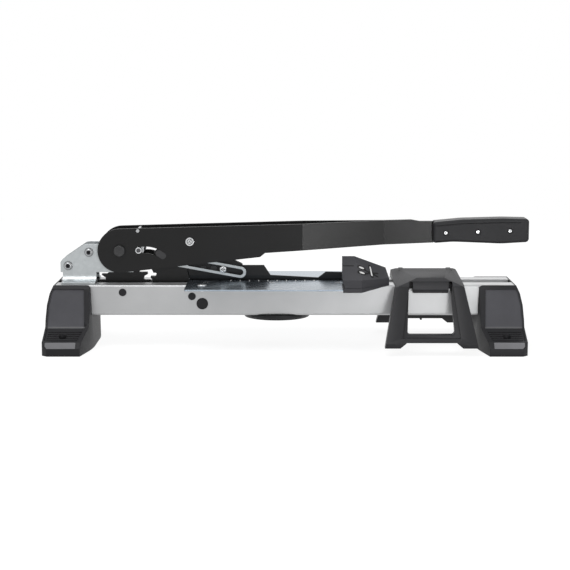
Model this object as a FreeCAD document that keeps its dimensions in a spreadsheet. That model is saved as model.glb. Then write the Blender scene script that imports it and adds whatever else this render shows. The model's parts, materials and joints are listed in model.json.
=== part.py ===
"""Laminate cutter: a bench guillotine with a long hand lever.

X runs along the beam to the grip, Y away from the operator, Z up.
The origin is on the floor, midway between the four fixing holes of the feet.
"""
import FreeCAD, Part
import math
import os
import Sketcher

# Driving dimensions in millimetres and degrees
SIZES = {
    # beam: a folded steel channel, open below, with a groove along its top
    "beam_half_length": 311.0,
    "beam_half_width": 40.0,
    "beam_top": 86.0,
    "beam_height": 41.5,
    "beam_sheet": 2.0,
    "beam_lip": 9.0,
    "beam_bend": 2.6,
    "groove_half_width": 14.0,
    "groove_depth": 7.0,
    # plugs in the beam's front face
    "plug_small_radius": 5.15,
    "plug_large_radius": 7.85,
    "plug_stem_step": 0.7,
    "plug_left_along": -220.0,
    "plug_left_rise": -10.0,
    "plug_mid_along": -126.0,
    "plug_mid_rise": -15.4,
    "plug_right_along": -112.0,
    "plug_right_rise": -25.4,
    "plug_head_proud": 0.7,
    "plug_stem_length": 7.0,
    # the gap left where a piece lies in its seat
    "seat_gap": 0.3,
    "screw_tail": 1.0,
    # feet
    "foot_half_depth": 105.0,
    "foot_top_outer_offset": 2.2,
    "foot_flank_height": 42.0,
    "foot_haunch_offset": 8.4,
    "foot_haunch_height": 61.0,
    "foot_crest_offset": 5.4,
    "foot_crest_rise": -10.0,
    "foot_bottom_outer_offset": 11.0,
    "foot_top_inner_offset": -44.0,
    "foot_bottom_inner_offset": -51.0,
    "foot_toe_inner_offset": -40.0,
    "foot_top_half_depth": 43.5,
    "foot_panel_top_depth": 47.5,
    "foot_panel_top_rise": -6.0,
    "foot_panel_low_depth": 65.0,
    "foot_panel_low_height": 34.0,
    "foot_toe_back_depth": 69.0,
    "foot_toe_back_height": 31.0,
    "foot_toe_front_inset": 7.5,
    "foot_toe_front_height": 18.0,
    "foot_front_height": 10.5,
    "foot_panel_recess": 1.3,
    "foot_panel_border": 4.0,
    "foot_panel_outer_border": 0.8,
    "foot_panel_upper_share": 0.1,
    "foot_panel_lower_share": 0.93,
    "foot_corner_cut": 7.0,
    "foot_fix_offset": -15.0,
    "foot_fix_inset": 22.0,
    "foot_fix_radius": 2.75,
    "foot_fix_recess_radius": 5.3,
    "foot_fix_floor": 12.0,
    "foot_cell_count": 4,
    "foot_cell_width": 23.0,
    "foot_cell_rib": 4.0,
    "foot_cell_side": 6.0,
    "foot_seat_thickness": 5.0,
    "foot_rib_count": 5,
    "foot_rib_start": 5.3,
    "foot_rib_pitch": 4.4,
    "foot_rib_width": 1.4,
    "foot_rib_depth": 0.7,
    "pad_length": 38.0,
    "pad_width": 20.0,
    "pad_thickness": 3.0,
    "pad_depth": 55.0,
    "foot_screw_offset": -23.0,
    "foot_screw_radius": 2.5,
    "foot_screw_head_radius": 4.6,
    "foot_screw_head": 3.0,
    "foot_screw_tail": 3.0,
    # galvanised bearing bracket
    "bracket_inner": 15.0,
    "bracket_sheet": 3.0,
    "bracket_left": -306.7,
    "bracket_bottom_rise": 14.7,
    "bracket_side_top_rise": 28.5,
    "bracket_slope_foot": -303.6,
    "bracket_slope_foot_rise": 33.0,
    "bracket_slope_head": -273.6,
    "bracket_top_rise": 53.3,
    "bracket_reach_right": 18.2,
    "bracket_corner": 10.0,
    "tab_left": -303.7,
    "tab_right": -258.0,
    "tab_reach": 36.0,
    "tab_bend": 9.0,
    "bracket_screw_low_along": -296.2,
    "bracket_screw_low_rise": 23.6,
    "bracket_screw_high_along": -267.6,
    "bracket_screw_high_rise": 42.1,
    "bracket_screw_radius": 3.0,
    "bracket_screw_head_radius": 6.0,
    "bracket_screw_head": 3.6,
    "bracket_nut_across": 10.0,
    "bracket_nut_thickness": 5.0,
    "bracket_spacer_radius": 6.0,
    # main pivot
    "pivot_along": -225.2,
    "pivot_rise": 44.8,
    "pivot_radius": 5.0,
    "pivot_head_across": 14.3,
    "pivot_head": 6.4,
    "pivot_nut_thickness": 8.0,
    "pivot_tail": 2.0,
    "pivot_bush_radius": 8.5,
    "pivot_washer_radius": 11.5,
    "running_gap": 0.05,
    "face_gap": 0.05,
    # lever
    "lever_sheet": 3.0,
    "lever_inner": 20.0,
    "lever_round": 30.0,
    "lever_top_left_rise": 73.9,
    "lever_top_right_rise": 85.3,
    "lever_shoulder": 173.0,
    "lever_shoulder_end": 185.0,
    "lever_neck_top_rise": 83.2,
    "lever_low_step_along": -33.6,
    "lever_low_step_rise": 36.1,
    "lever_low_left_rise": 10.9,
    "lever_high_step_along": -26.9,
    "lever_high_step_rise": 41.6,
    "lever_bend_start": 24.0,
    "lever_bend_start_low_rise": 45.0,
    "lever_bend_end": 136.0,
    "lever_bend_end_low_rise": 50.9,
    "lever_neck_end": 204.0,
    "lever_neck_low_rise": 53.7,
    "tang_start": 214.0,
    "tang_end": 325.0,
    "tang_low_rise": 61.0,
    "tang_top_rise": 80.0,
    "cross_rod_ahead": 25.2,
    "cross_rod_rise": 27.2,
    "cross_rod_radius": 2.3,
    "cross_rod_proud": 1.0,
    # transport latch in its curved slot
    "slot_centre_ahead": 34.2,
    "slot_centre_drop": 39.8,
    "slot_path_radius": 41.0,
    "slot_half_width": 4.5,
    "slot_start_angle": 101.6,
    "slot_end_angle": 53.0,
    "slot_stop_angle": 62.0,
    "latch_proud": 1.8,
    "latch_gap": 0.1,
    "latch_side_gap": 0.15,
    "latch_washer_radius": 7.0,
    "latch_washer_thickness": 1.6,
    "stop_flange": 1.6,
    # blade carrier, hung on the lever
    "blade_pivot_ahead": 95.8,
    "blade_pivot_rise": 12.4,
    "blade_pivot_radius": 4.0,
    "rivet_head_radius": 6.0,
    "rivet_head": 1.6,
    "rivet_spacer_radius": 7.0,
    "blade_thickness": 3.0,
    "blade_edge_rise": -5.0,
    "blade_heel": -131.5,
    "blade_heel_rise": 5.0,
    "blade_heel_top": -134.6,
    "blade_back_margin": 4.5,
    "blade_step_top": -28.7,
    "blade_step_low": -19.7,
    "blade_step_low_rise": 8.4,
    "blade_waist": 46.1,
    "blade_waist_rise": 4.9,
    "blade_nose": 56.6,
    "blade_nose_rise": 13.0,
    "blade_tip": 95.0,
    "blade_tip_top_rise": 12.2,
    "blade_tip_round": 2.0,
    "blade_tip_chamfer": 6.0,
    "blade_tip_rise": 4.0,
    "blade_bevel_height": 13.0,
    "blade_bevel_land": 0.5,
    "carrier_sheet": 3.0,
    "carrier_boss": 10.0,
    "carrier_boss_round": 9.0,
    "carrier_shoulder": 20.0,
    "carrier_corner": 3.0,
    "carrier_spacer_radius": 9.0,
    "carrier_right": -58.0,
    "carrier_low_rise": 13.0,
    "carrier_right_top_rise": 24.0,
    "carrier_left_low": -126.0,
    "carrier_screw_radius": 2.5,
    "carrier_screw_head_radius": 4.2,
    "carrier_screw_head": 2.1,
    "carrier_screw_left_ahead": 17.4,
    "carrier_screw_mid_ahead": 31.4,
    "carrier_screw_drop": 39.2,
    # slotted links beside the carrier
    "link_pin_ahead": 55.2,
    "link_pin_drop": 11.3,
    "link_pin_radius": 4.0,
    "link_pin_head_radius": 6.0,
    "link_washer_radius": 7.0,
    "link_tilt": 10.5,
    "link_length": 110.8,
    "link_half_width": 7.8,
    "link_slot_half": 4.3,
    "link_slot_start": 36.0,
    "link_slot_end": 110.4,
    "link_sheet": 2.5,
    "link_inner": 7.0,
    "link_bolt_ahead": 44.6,
    "link_bolt_drop": 39.5,
    "link_bolt_radius": 2.6,
    "link_bolt_head_radius": 5.0,
    "link_bolt_head": 2.8,
    "link_side_gap": 0.3,
    # black plates in the beam's groove
    "catch_half_thickness": 4.0,
    "catch_left": -258.5,
    "catch_bar_top_rise": 2.4,
    "catch_hook_foot": -247.0,
    "catch_hook_root_rise": 5.4,
    "catch_hook_tip": -252.2,
    "catch_hook_low_rise": 8.8,
    "catch_hook_high_rise": 10.3,
    "catch_hook_slope": -245.0,
    "catch_slope_head": -239.0,
    "catch_top_rise": 16.2,
    "catch_right": -200.2,
    "catch_nose": -188.6,
    "catch_nose_low_rise": 10.1,
    "catch_nose_back": -189.6,
    "catch_nose_rise": 12.6,
    "catch_throat": -193.2,
    "catch_throat_rise": 7.6,
    "catch_bay_left": -195.2,
    "catch_bay_low_rise": 2.2,
    "catch_bay_corner": 2.0,
    "catch_end": -186.0,
    "guide_left": -182.0,
    "guide_hook_tip": -184.9,
    "guide_hook_root_rise": 1.6,
    "guide_hook_low_rise": 5.1,
    "guide_hook_high_rise": 7.1,
    "guide_notch_low_along": -178.2,
    "guide_notch": -176.2,
    "guide_notch_top_rise": 11.8,
    "guide_notch_round": 1.2,
    "guide_notch_left": -181.0,
    "guide_shoulder": -183.9,
    "guide_shoulder_rise": 17.8,
    "guide_right": -132.3,
    "guide_right_rise": 5.0,
    "guide_bend": -134.9,
    "guide_bend_rise": 20.0,
    "guide_slope": -140.2,
    "guide_boss_reach_right": 12.0,
    "guide_boss_reach_left": 11.0,
    "guide_boss_foot_rise": 35.0,
    "guide_boss_round": 5.0,
    "guide_top_rise": 43.0,
    "guide_leaf_left": -160.0,
    "guide_leaf_step": -141.5,
    "guide_leaf_right": -122.5,
    "guide_leaf_top_rise": 28.0,
    "guide_leaf_sheet": 1.8,
    "catch_screw_left": -246.8,
    "catch_screw_mid": -214.8,
    "guide_screw_along": -158.2,
    "catch_screw_radius": 2.5,
    "catch_screw_head_radius": 4.5,
    "catch_screw_head": 3.0,
    # cutting bar in the groove
    "anvil_left": -131.9,
    "anvil_right": 152.0,
    "anvil_slot_half": 2.2,
    "anvil_floor": 1.8,
    # table plates
    "table_left": -133.0,
    "table_right": 129.5,
    "table_cut_along": 97.0,
    "table_cut_depth": 60.0,
    "table_corner": 3.0,
    "table_front": 96.0,
    "table_rear": 85.0,
    "table_slot_half": 3.0,
    "table_sheet": 2.0,
    "table_lip_start": -75.0,
    "table_lip_end": 49.0,
    "table_lip_step": 1.0,
    "table_screw_depth": 27.0,
    "table_screw_left": -106.8,
    "table_screw_mid": -18.1,
    "table_screw_right": 73.2,
    "table_screw_radius": 2.5,
    "table_screw_head_radius": 4.7,
    "table_screw_head": 1.6,
    "table_screw_tail": 4.0,
    "button_along": -111.5,
    "button_depth": 56.0,
    "button_radius": 6.7,
    "button_head": 1.5,
    "button_stem_radius": 3.0,
    "button_stem_tail": 4.0,
    # angle fence on the table
    "fence_left": 77.0,
    "fence_front": 98.6,
    "fence_front_right": 101.4,
    "fence_corner_along": 140.4,
    "fence_corner_depth": 55.0,
    "fence_back_right_along": 136.6,
    "fence_back_right_depth": 33.5,
    "fence_back_along": 93.4,
    "fence_back_depth": 50.0,
    "fence_front_top_rise": 14.7,
    "fence_back_top_rise": 41.0,
    "fence_corner_top_rise": 11.6,
    "fence_shoe_top": 90.0,
    "fence_shoe_low_rise": -1.8,
    "fence_edge_gap": 0.2,
    "fence_gap": 0.3,
    "fence_pivot_along": 87.0,
    "fence_pivot_depth": 59.0,
    "fence_pivot_radius": 4.0,
    "fence_pivot_top_rise": 18.0,
    "fence_pivot_head_radius": 7.0,
    "fence_pivot_head": 2.5,
    "fence_toe_cut": 4.0,
    "fence_toe_top_rise": 11.7,
    "fence_seam_rise": 30.5,
    "fence_seam_reach": 15.0,
    "fence_seam_width": 1.2,
    # lift-off support trestle, parked over the beam
    "trestle_along": 194.2,
    "trestle_top_rise": 11.3,
    "trestle_bottom": 11.0,
    "trestle_foot_depth": 106.0,
    "trestle_foot_rise": 6.0,
    "trestle_top_depth": 50.0,
    "trestle_shoulder_depth": 53.5,
    "trestle_shoulder_rise": 5.5,
    "trestle_leg": 11.0,
    "trestle_seat_gap": 0.2,
    "trestle_side_gap": 1.5,
    "trestle_side_drop": 3.0,
    "trestle_foot_half": 62.0,
    "trestle_leg_top_half": 44.8,
    "trestle_leg_top_rise": 3.0,
    "trestle_head_half": 46.0,
    "trestle_head_rise": 6.5,
    "trestle_crown_half": 37.0,
    "trestle_foot_inner_half": 41.5,
    "trestle_notch_half": 33.0,
    "trestle_bar_half": 31.5,
    "trestle_bar_low": 18.2,
    "trestle_bar_top": 27.2,
    "trestle_window_top_rise": -4.0,
    "trestle_window_top_half": 29.0,
    "trestle_window_corner": 4.0,
    "trestle_step_half": 37.8,
    "trestle_step_low": 23.6,
    "trestle_step_top_rise": 0.0,
    "trestle_step_depth": 4.0,
    "trestle_lip_half": 23.6,
    "trestle_lip_low_rise": -9.0,
    "trestle_lip_sheet": 4.0,
    "trestle_lip_corner": 1.5,
    "trestle_ear": 1.4,
    "trestle_ear_length": 6.0,
    "trestle_ear_slope": 1.0,
    # round carrying disc under the beam
    "disc_along": -11.0,
    "disc_radius": 47.0,
    "disc_thickness": 6.4,
    "disc_screw_along": 20.0,
    "disc_screw_radius": 2.0,
    "disc_screw_head_radius": 3.8,
    "disc_screw_head": 2.2,
    "disc_edge_slope": 2.4,
    "disc_edge_height": 3.6,
    "disc_screw_tail": 2.0,
    # grip scales
    "grip_half_width": 15.0,
    "grip_start": 202.8,
    "grip_start_top_rise": 83.0,
    "grip_start_low_rise": 54.0,
    "grip_swell_along": 242.0,
    "grip_swell_top_rise": 86.7,
    "grip_crown_along": 298.0,
    "grip_crown_top_rise": 88.2,
    "grip_end": 333.8,
    "grip_end_top_rise": 87.4,
    "grip_end_low_rise": 55.5,
    "grip_belly_along": 296.0,
    "grip_belly_low_rise": 53.3,
    "grip_waist_along": 230.0,
    "grip_waist_low_rise": 56.0,
    "grip_start_round": 4.0,
    "grip_flow": 120.0,
    "grip_end_round": 5.0,
    "grip_edge_round": 3.5,
    "grip_line_drop": 6.4,
    "grip_line_width": 1.0,
    "grip_line_depth": 0.7,
    "grip_line_end": 322.5,
    "grip_screw_count": 3,
    "grip_screw_first": 219.9,
    "grip_screw_pitch": 43.9,
    "grip_screw_base_rise": 68.0,
    "grip_screw_rise": 1.4,
    "grip_screw_radius": 2.0,
    "grip_screw_head_radius": 2.6,
    "grip_screw_head": 1.05,
    "grip_screw_recess_radius": 4.0,
    "grip_screw_recess": 1.5,
}

doc = FreeCAD.newDocument("laminate_cutter")
sheet = doc.addObject("Spreadsheet::Sheet", "sizes")
for row, (name, value) in enumerate(SIZES.items(), start=1):
    sheet.set("A%d" % row, name)
    sheet.set("B%d" % row, str(value))
    sheet.setAlias("B%d" % row, name)
doc.recompute()


class Size:
    """A length or angle that carries its number and its spreadsheet formula."""

    def __init__(self, value, formula):
        self.value = float(value)
        self.formula = formula

    def join(self, other, sign, value):
        return Size(value, "(%s %s %s)" % (self.formula, sign, formula_of(other)))

    def __add__(self, other):
        return self.join(other, "+", self.value + number(other))

    def __sub__(self, other):
        return self.join(other, "-", self.value - number(other))

    def __mul__(self, other):
        return self.join(other, "*", self.value * number(other))

    def __truediv__(self, other):
        return self.join(other, "/", self.value / number(other))

    def __neg__(self):
        return Size(-self.value, "(0 - %s)" % self.formula)


class Sheet:
    """Named sizes of the spreadsheet as attributes."""

    def __getattr__(self, name):
        return Size(sheet.get(name), "sizes.%s" % name)


def number(value):
    return value.value if isinstance(value, Size) else float(value)


def formula_of(value):
    return value.formula if isinstance(value, Size) else "(%r)" % float(value)


def past_end(offset):
    """A distance from the middle given as an offset past the beam's end; negative inside it."""
    return s.beam_half_length + offset


def above(rise):
    """A height given as a rise above the beam's top; negative below it."""
    return s.beam_top + rise


def cosine(angle):
    return Size(math.cos(math.radians(angle.value)), "cos(%s)" % angle.formula)


def sine(angle):
    return Size(math.sin(math.radians(angle.value)), "sin(%s)" % angle.formula)


def blend(start, end, share):
    """A value the given share of the way from start to end."""
    return start + (end - start) * share


s = Sheet()
ZERO = Size(0, "0")
nodes = {}

# How far a cutting tool reaches past the face it cuts
PAST = 1.0

# A rounded end keeps this share of its half width as radius
ROUND_END = 0.98


def bind(item, target, value):
    """Tie one property of an object to its formula."""
    item.setExpression(target, formula_of(value))


def node(name, item):
    """Name a finished piece and keep it for export."""
    item.Label = name
    nodes[name] = item
    return item


def place(item, point, rotation=None):
    """Put an object at a point given by three sizes."""
    if rotation:
        item.Placement = FreeCAD.Placement(FreeCAD.Vector(), rotation)
    for axis, value in zip("xyz", point):
        bind(item, "Placement.Base.%s" % axis, value)


TURN_TO = {
    "X": FreeCAD.Rotation(FreeCAD.Vector(0, 1, 0), 90),
    "Y": FreeCAD.Rotation(FreeCAD.Vector(1, 0, 0), -90),
    "Z": FreeCAD.Rotation(),
}


def cylinder(point, radius, length, axis="Z"):
    """A cylinder from a point along X, Y or Z."""
    item = doc.addObject("Part::Cylinder", "Cylinder")
    bind(item, "Radius", radius)
    bind(item, "Height", length)
    place(item, point, TURN_TO[axis])
    return item


def cone(point, low_radius, top_radius, length, axis="Z"):
    item = doc.addObject("Part::Cone", "Cone")
    bind(item, "Radius1", low_radius)
    bind(item, "Radius2", top_radius)
    bind(item, "Height", length)
    place(item, point, TURN_TO[axis])
    return item


def hexagon(point, across, length, axis="Z"):
    """A hexagonal prism, sized across its flats."""
    item = doc.addObject("Part::Prism", "Prism")
    item.Polygon = 6
    bind(item, "Circumradius", across / math.sqrt(3))
    bind(item, "Height", length)
    place(item, point, TURN_TO[axis])
    return item


def box(low, high):
    """A box between two corner points."""
    item = doc.addObject("Part::Box", "Box")
    for side, start, end in zip(("Length", "Width", "Height"), low, high):
        bind(item, side, Size(number(end) - number(start),
                              "(%s - %s)" % (formula_of(end), formula_of(start))))
    place(item, low)
    return item


def fuse(items):
    if len(items) == 1:
        return items[0]
    item = doc.addObject("Part::MultiFuse", "Fusion")
    item.Shapes = items
    return item


def cut(base, tools):
    item = doc.addObject("Part::Cut", "Cut")
    item.Base = base
    item.Tool = fuse(tools)
    return item


def group(items):
    """Several separate solids in one piece list entry."""
    item = doc.addObject("Part::Compound", "Group")
    item.Links = items
    return item


def mirrored(item, normal):
    """The same piece on the other side of the beam or at its other end."""
    other = doc.addObject("Part::Mirroring", "Mirror")
    other.Source = item
    other.Normal = normal
    return other


def tube(point, outer, inner, length, axis="Z"):
    return cut(cylinder(point, outer, length, axis), [cylinder(point, inner, length, axis)])


ALONG_X = FreeCAD.Vector(1, 0, 0)
ALONG_Y = FreeCAD.Vector(0, 1, 0)

# Each sketch plane with its normal as a sign on the axis it is stacked along
PLANES = {"XY": ("XY_Plane", 1), "XZ": ("XZ_Plane", -1), "YZ": ("YZ_Plane", 1)}


def outline(sketch, corners):
    """Closed polygon whose corners are (x, y) or (x, y, rounding radius)."""
    points = [FreeCAD.Vector(number(c[0]), number(c[1]), 0) for c in corners]
    radii = [number(c[2]) if len(c) > 2 else 0.0 for c in corners]
    count = len(corners)
    ends = []
    for i in range(count):
        back = (points[i - 1] - points[i]).normalize()
        ahead = (points[(i + 1) % count] - points[i]).normalize()
        half = back.getAngle(ahead) / 2
        reach = radii[i] / math.tan(half) if radii[i] else 0.0
        centre = points[i]
        if radii[i]:
            centre = points[i] + (back + ahead).normalize() * (radii[i] / math.sin(half))
        ends.append((points[i] + back * reach, points[i] + ahead * reach, centre))
    lines = []
    for i in range(count):
        j = (i + 1) % count
        lines.append(sketch.addGeometry(Part.LineSegment(ends[i][1], ends[j][0]), False))
    for i in range(count):
        before = lines[i - 1]
        after = lines[i]
        if not radii[i]:
            sketch.addConstraint(Sketcher.Constraint("Coincident", before, 2, after, 1))
            fix_point(sketch, after, 1, corners[i])
            continue
        start, end, centre = ends[i]
        start_angle = math.atan2(start.y - centre.y, start.x - centre.x)
        end_angle = math.atan2(end.y - centre.y, end.x - centre.x)
        turns_left = (end_angle - start_angle) % (2 * math.pi) < math.pi
        low, high = (start_angle, end_angle) if turns_left else (end_angle, start_angle)
        circle = Part.Circle(centre, FreeCAD.Vector(0, 0, 1), radii[i])
        arc = sketch.addGeometry(Part.ArcOfCircle(circle, low, high), False)
        first, second = (1, 2) if turns_left else (2, 1)
        corner = sketch.addGeometry(Part.Point(points[i]), True)
        sketch.addConstraint(Sketcher.Constraint("Tangent", before, 2, arc, first))
        sketch.addConstraint(Sketcher.Constraint("Tangent", arc, second, after, 1))
        sketch.addConstraint(Sketcher.Constraint("PointOnObject", corner, 1, before))
        sketch.addConstraint(Sketcher.Constraint("PointOnObject", corner, 1, after))
        fix_point(sketch, corner, 1, corners[i])
        mark = sketch.addConstraint(Sketcher.Constraint("Radius", arc, radii[i]))
        bind(sketch, "Constraints[%d]" % mark, corners[i][2])


def fix_point(sketch, geometry, which, point):
    """Hold one sketch point at its two coordinates."""
    for kind, value in zip(("DistanceX", "DistanceY"), point):
        rule = Sketcher.Constraint(kind, -1, 1, geometry, which, number(value))
        mark = sketch.addConstraint(rule)
        bind(sketch, "Constraints[%d]" % mark, value)


def circle(sketch, centre, radius):
    shape = Part.Circle(FreeCAD.Vector(number(centre[0]), number(centre[1]), 0),
                        FreeCAD.Vector(0, 0, 1), number(radius))
    ring = sketch.addGeometry(shape, False)
    fix_point(sketch, ring, 3, centre)
    mark = sketch.addConstraint(Sketcher.Constraint("Radius", ring, number(radius)))
    bind(sketch, "Constraints[%d]" % mark, radius)


def draw(sketch, wires):
    """Each wire is a list of corners or a (centre, radius) pair for a circle."""
    for wire in wires:
        if isinstance(wire, tuple):
            circle(sketch, wire[0], wire[1])
        else:
            outline(sketch, wire)


def sketch_on(body, plane, position, wires):
    """A sketch on one of the body's own planes, moved along that plane's axis."""
    role, sign = PLANES[plane]
    support = [f for f in body.Origin.OriginFeatures if f.Role == role][0]
    sketch = body.newObject("Sketcher::SketchObject", "Sketch")
    sketch.AttachmentSupport = [(support, "")]
    sketch.MapMode = "FlatFace"
    shift = position if sign > 0 else -position
    bind(sketch, "AttachmentOffset.Base.z", shift)
    draw(sketch, wires)
    return sketch


def new_body():
    return doc.addObject("PartDesign::Body", "Body")


def pad(body, plane, low, high, wires):
    """Add material between two positions along the plane's axis."""
    start = low if PLANES[plane][1] > 0 else high
    feature = body.newObject("PartDesign::Pad", "Pad")
    feature.Profile = sketch_on(body, plane, start, wires)
    body.Tip = feature
    bind(feature, "Length", high - low)
    return feature


def pocket(body, plane, low, high, wires):
    """Remove material between two positions along the plane's axis."""
    doc.recompute()
    before = body.Shape.Volume
    start = low if PLANES[plane][1] > 0 else high
    feature = body.newObject("PartDesign::Pocket", "Pocket")
    feature.Profile = sketch_on(body, plane, start, wires)
    feature.Reversed = True
    body.Tip = feature
    bind(feature, "Length", high - low)
    doc.recompute()
    if not body.Shape.Volume < before:
        raise ValueError("a pocket removed nothing")
    return feature


def trim(body, plane, low, high, frame, corners, holes=()):
    """Keep only what lies inside an outline, and open the holes in it."""
    left, bottom, right, top = frame
    border = [(left, bottom), (right, bottom), (right, top), (left, top)]
    return pocket(body, plane, low, high, [border, corners] + list(holes))


def plate(plane, low, high, wires):
    body = new_body()
    pad(body, plane, low, high, wires)
    return body


def build_beam():
    """Channel with a grooved top, open below between two inward lips."""
    half = s.beam_half_width
    top = s.beam_top
    low = s.beam_top - s.beam_height
    wall = s.beam_sheet
    groove = s.groove_half_width
    floor = top - s.groove_depth
    lip = half - s.beam_lip
    bend = s.beam_bend
    right = [
        (groove, floor), (groove, top), (half, top, bend), (half, low, bend), (lip, low),
        (lip, low + wall), (half - wall, low + wall), (half - wall, top - wall),
        (groove + wall, top - wall), (groove + wall, floor - wall),
    ]
    left = [(-corner[0],) + corner[1:] for corner in reversed(right)]
    body = plate("YZ", -s.beam_half_length, s.beam_half_length, [right + left])
    tools = []
    for along, height, radius in plug_places():
        tools.append(cylinder((along, -half, height), radius - s.plug_stem_step, wall, "Y"))
    for along in table_screw_places():
        for side in (-1, 1):
            point = (along, s.table_screw_depth * side, top - wall)
            tools.append(cylinder(point, s.table_screw_radius, wall))
    for side in (-1, 1):
        for end in (-1, 1):
            point = (past_end(s.foot_screw_offset) * end, lip_middle() * side, low)
            tools.append(cylinder(point, s.foot_screw_radius, wall))
            point = (s.disc_along + s.disc_screw_along * end, lip_middle() * side, low)
            tools.append(cylinder(point, s.disc_screw_radius, wall))
    for along in catch_screw_places():
        tools.append(cylinder((along, ZERO, floor - wall), s.catch_screw_radius, wall))
    node("beam", cut(body, tools))


def plug_places():
    return [
        (s.plug_left_along, above(s.plug_left_rise), s.plug_small_radius),
        (s.plug_mid_along, above(s.plug_mid_rise), s.plug_small_radius),
        (s.plug_right_along, above(s.plug_right_rise), s.plug_large_radius),
    ]


def table_screw_places():
    return [s.table_screw_left, s.table_screw_mid, s.table_screw_right]


def lip_middle():
    """Distance of the middle of each lower lip's flat from the beam's middle."""
    return s.beam_half_width - s.beam_sheet / 2 - s.beam_lip / 2


def catch_screw_places():
    return [s.catch_screw_left, s.catch_screw_mid, s.guide_screw_along]


def build_plugs():
    plugs = []
    face = -s.beam_half_width
    for along, height, radius in plug_places():
        head = cylinder((along, face - s.plug_head_proud, height), radius, s.plug_head_proud, "Y")
        stem = cylinder((along, face, height), radius - s.plug_stem_step, s.plug_stem_length, "Y")
        plugs.append(fuse([head, stem]))
    node("hole_plugs", group(plugs))


def build_feet():
    """End blocks that the beam drops into; the right one mirrors the left."""
    outer = -past_end(s.foot_bottom_outer_offset)
    inner = -past_end(s.foot_bottom_inner_offset)
    top = s.beam_top
    rear = [
        (s.foot_half_depth, ZERO), (s.foot_half_depth, s.foot_front_height),
        (s.foot_half_depth - s.foot_toe_front_inset, s.foot_toe_front_height),
        (s.foot_toe_back_depth, s.foot_toe_back_height),
        (s.foot_panel_low_depth, s.foot_panel_low_height),
        (s.foot_panel_top_depth, above(s.foot_panel_top_rise)),
        (s.foot_top_half_depth, top),
    ]
    front = [(-y, z) for y, z in reversed(rear)]
    body = plate("YZ", outer, inner, [rear + front])
    reach = s.foot_half_depth + PAST * 2
    frame = (outer - PAST * 2, ZERO - PAST * 2, inner + PAST * 2, top + PAST * 2)
    side = [
        (outer, ZERO - PAST), (inner, ZERO - PAST),
        (-past_end(s.foot_top_inner_offset), top + PAST),
        (-past_end(s.foot_top_outer_offset), top + PAST),
        (-past_end(s.foot_crest_offset), above(s.foot_crest_rise)),
        (-past_end(s.foot_haunch_offset), s.foot_haunch_height), (outer, s.foot_flank_height),
    ]
    trim(body, "XZ", -reach, reach, frame, side)
    shoulder = s.foot_panel_top_depth
    toe = s.foot_half_depth + PAST
    corner = s.foot_corner_cut
    toe_inner = -past_end(s.foot_toe_inner_offset)
    plan = [
        (outer - PAST, -toe + corner), (outer + corner, -toe), (toe_inner, -toe),
        (inner, -shoulder), (inner, shoulder), (toe_inner, toe),
        (outer + corner, toe), (outer - PAST, toe - corner),
    ]
    plan_frame = (outer - PAST * 2, -reach, inner + PAST * 2, reach)
    trim(body, "XY", ZERO - PAST, top + PAST, plan_frame, plan)
    seat = s.beam_half_width + s.seat_gap
    seat_low = s.beam_top - s.beam_height
    seat_box = [(-seat, seat_low), (seat, seat_low), (seat, top + PAST), (-seat, top + PAST)]
    pocket(body, "YZ", -s.beam_half_length - s.seat_gap, inner + PAST, [seat_box])
    cells_low = -past_end(s.foot_top_outer_offset) + s.foot_cell_side
    cells_high = -past_end(s.foot_top_inner_offset) - s.foot_cell_side
    roof = seat_low - s.foot_seat_thickness
    wires = []
    cells = int(s.foot_cell_count.value)
    for step in range(cells):
        middle = (s.foot_cell_width + s.foot_cell_rib) * (step - (cells - 1) / 2)
        near = middle - s.foot_cell_width / 2
        far = middle + s.foot_cell_width / 2
        wires.append([(cells_low, near), (cells_high, near), (cells_high, far), (cells_low, far)])
    pocket(body, "XY", ZERO - PAST, roof, wires)
    for end in (-1, 1):
        recess_panel(body, end)
        for step in range(int(s.foot_rib_count.value)):
            cut_tread(body, end, step)
    tools = []
    for end in (-1, 1):
        spot = (-past_end(s.foot_fix_offset), (s.foot_half_depth - s.foot_fix_inset) * end)
        tools.append(cylinder(spot + (ZERO - PAST,), s.foot_fix_radius, top))
        tools.append(cylinder(spot + (s.foot_fix_floor,), s.foot_fix_recess_radius, top))
        low, high = pad_corners(-1, end)
        tools.append(box(low, high))
        point = (-past_end(s.foot_screw_offset), lip_middle() * end, roof - PAST)
        tools.append(cylinder(point, s.foot_screw_radius, s.foot_seat_thickness + PAST * 2))
    left = node("foot_left", cut(body, tools))
    node("foot_right", mirrored(left, ALONG_X))


def recess_panel(body, end):
    """A shallow field on the steep face, inside a border."""
    top_y = s.foot_panel_top_depth
    top_z = above(s.foot_panel_top_rise)
    low_y = s.foot_panel_low_depth
    low_z = s.foot_panel_low_height
    inset = s.foot_panel_recess
    start_y = blend(top_y, low_y, s.foot_panel_upper_share)
    start_z = blend(top_z, low_z, s.foot_panel_upper_share)
    end_y = blend(top_y, low_y, s.foot_panel_lower_share)
    end_z = blend(top_z, low_z, s.foot_panel_lower_share)
    strip = [
        (start_y * end + inset * end, start_z), (start_y * end - inset * end, start_z - inset),
        (end_y * end - inset * end, end_z), (end_y * end + inset * 2 * end, end_z),
    ]
    low = -past_end(s.foot_top_outer_offset) + s.foot_panel_outer_border
    high = -past_end(s.foot_top_inner_offset) - s.foot_panel_border
    pocket(body, "YZ", low, high, [strip])


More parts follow.
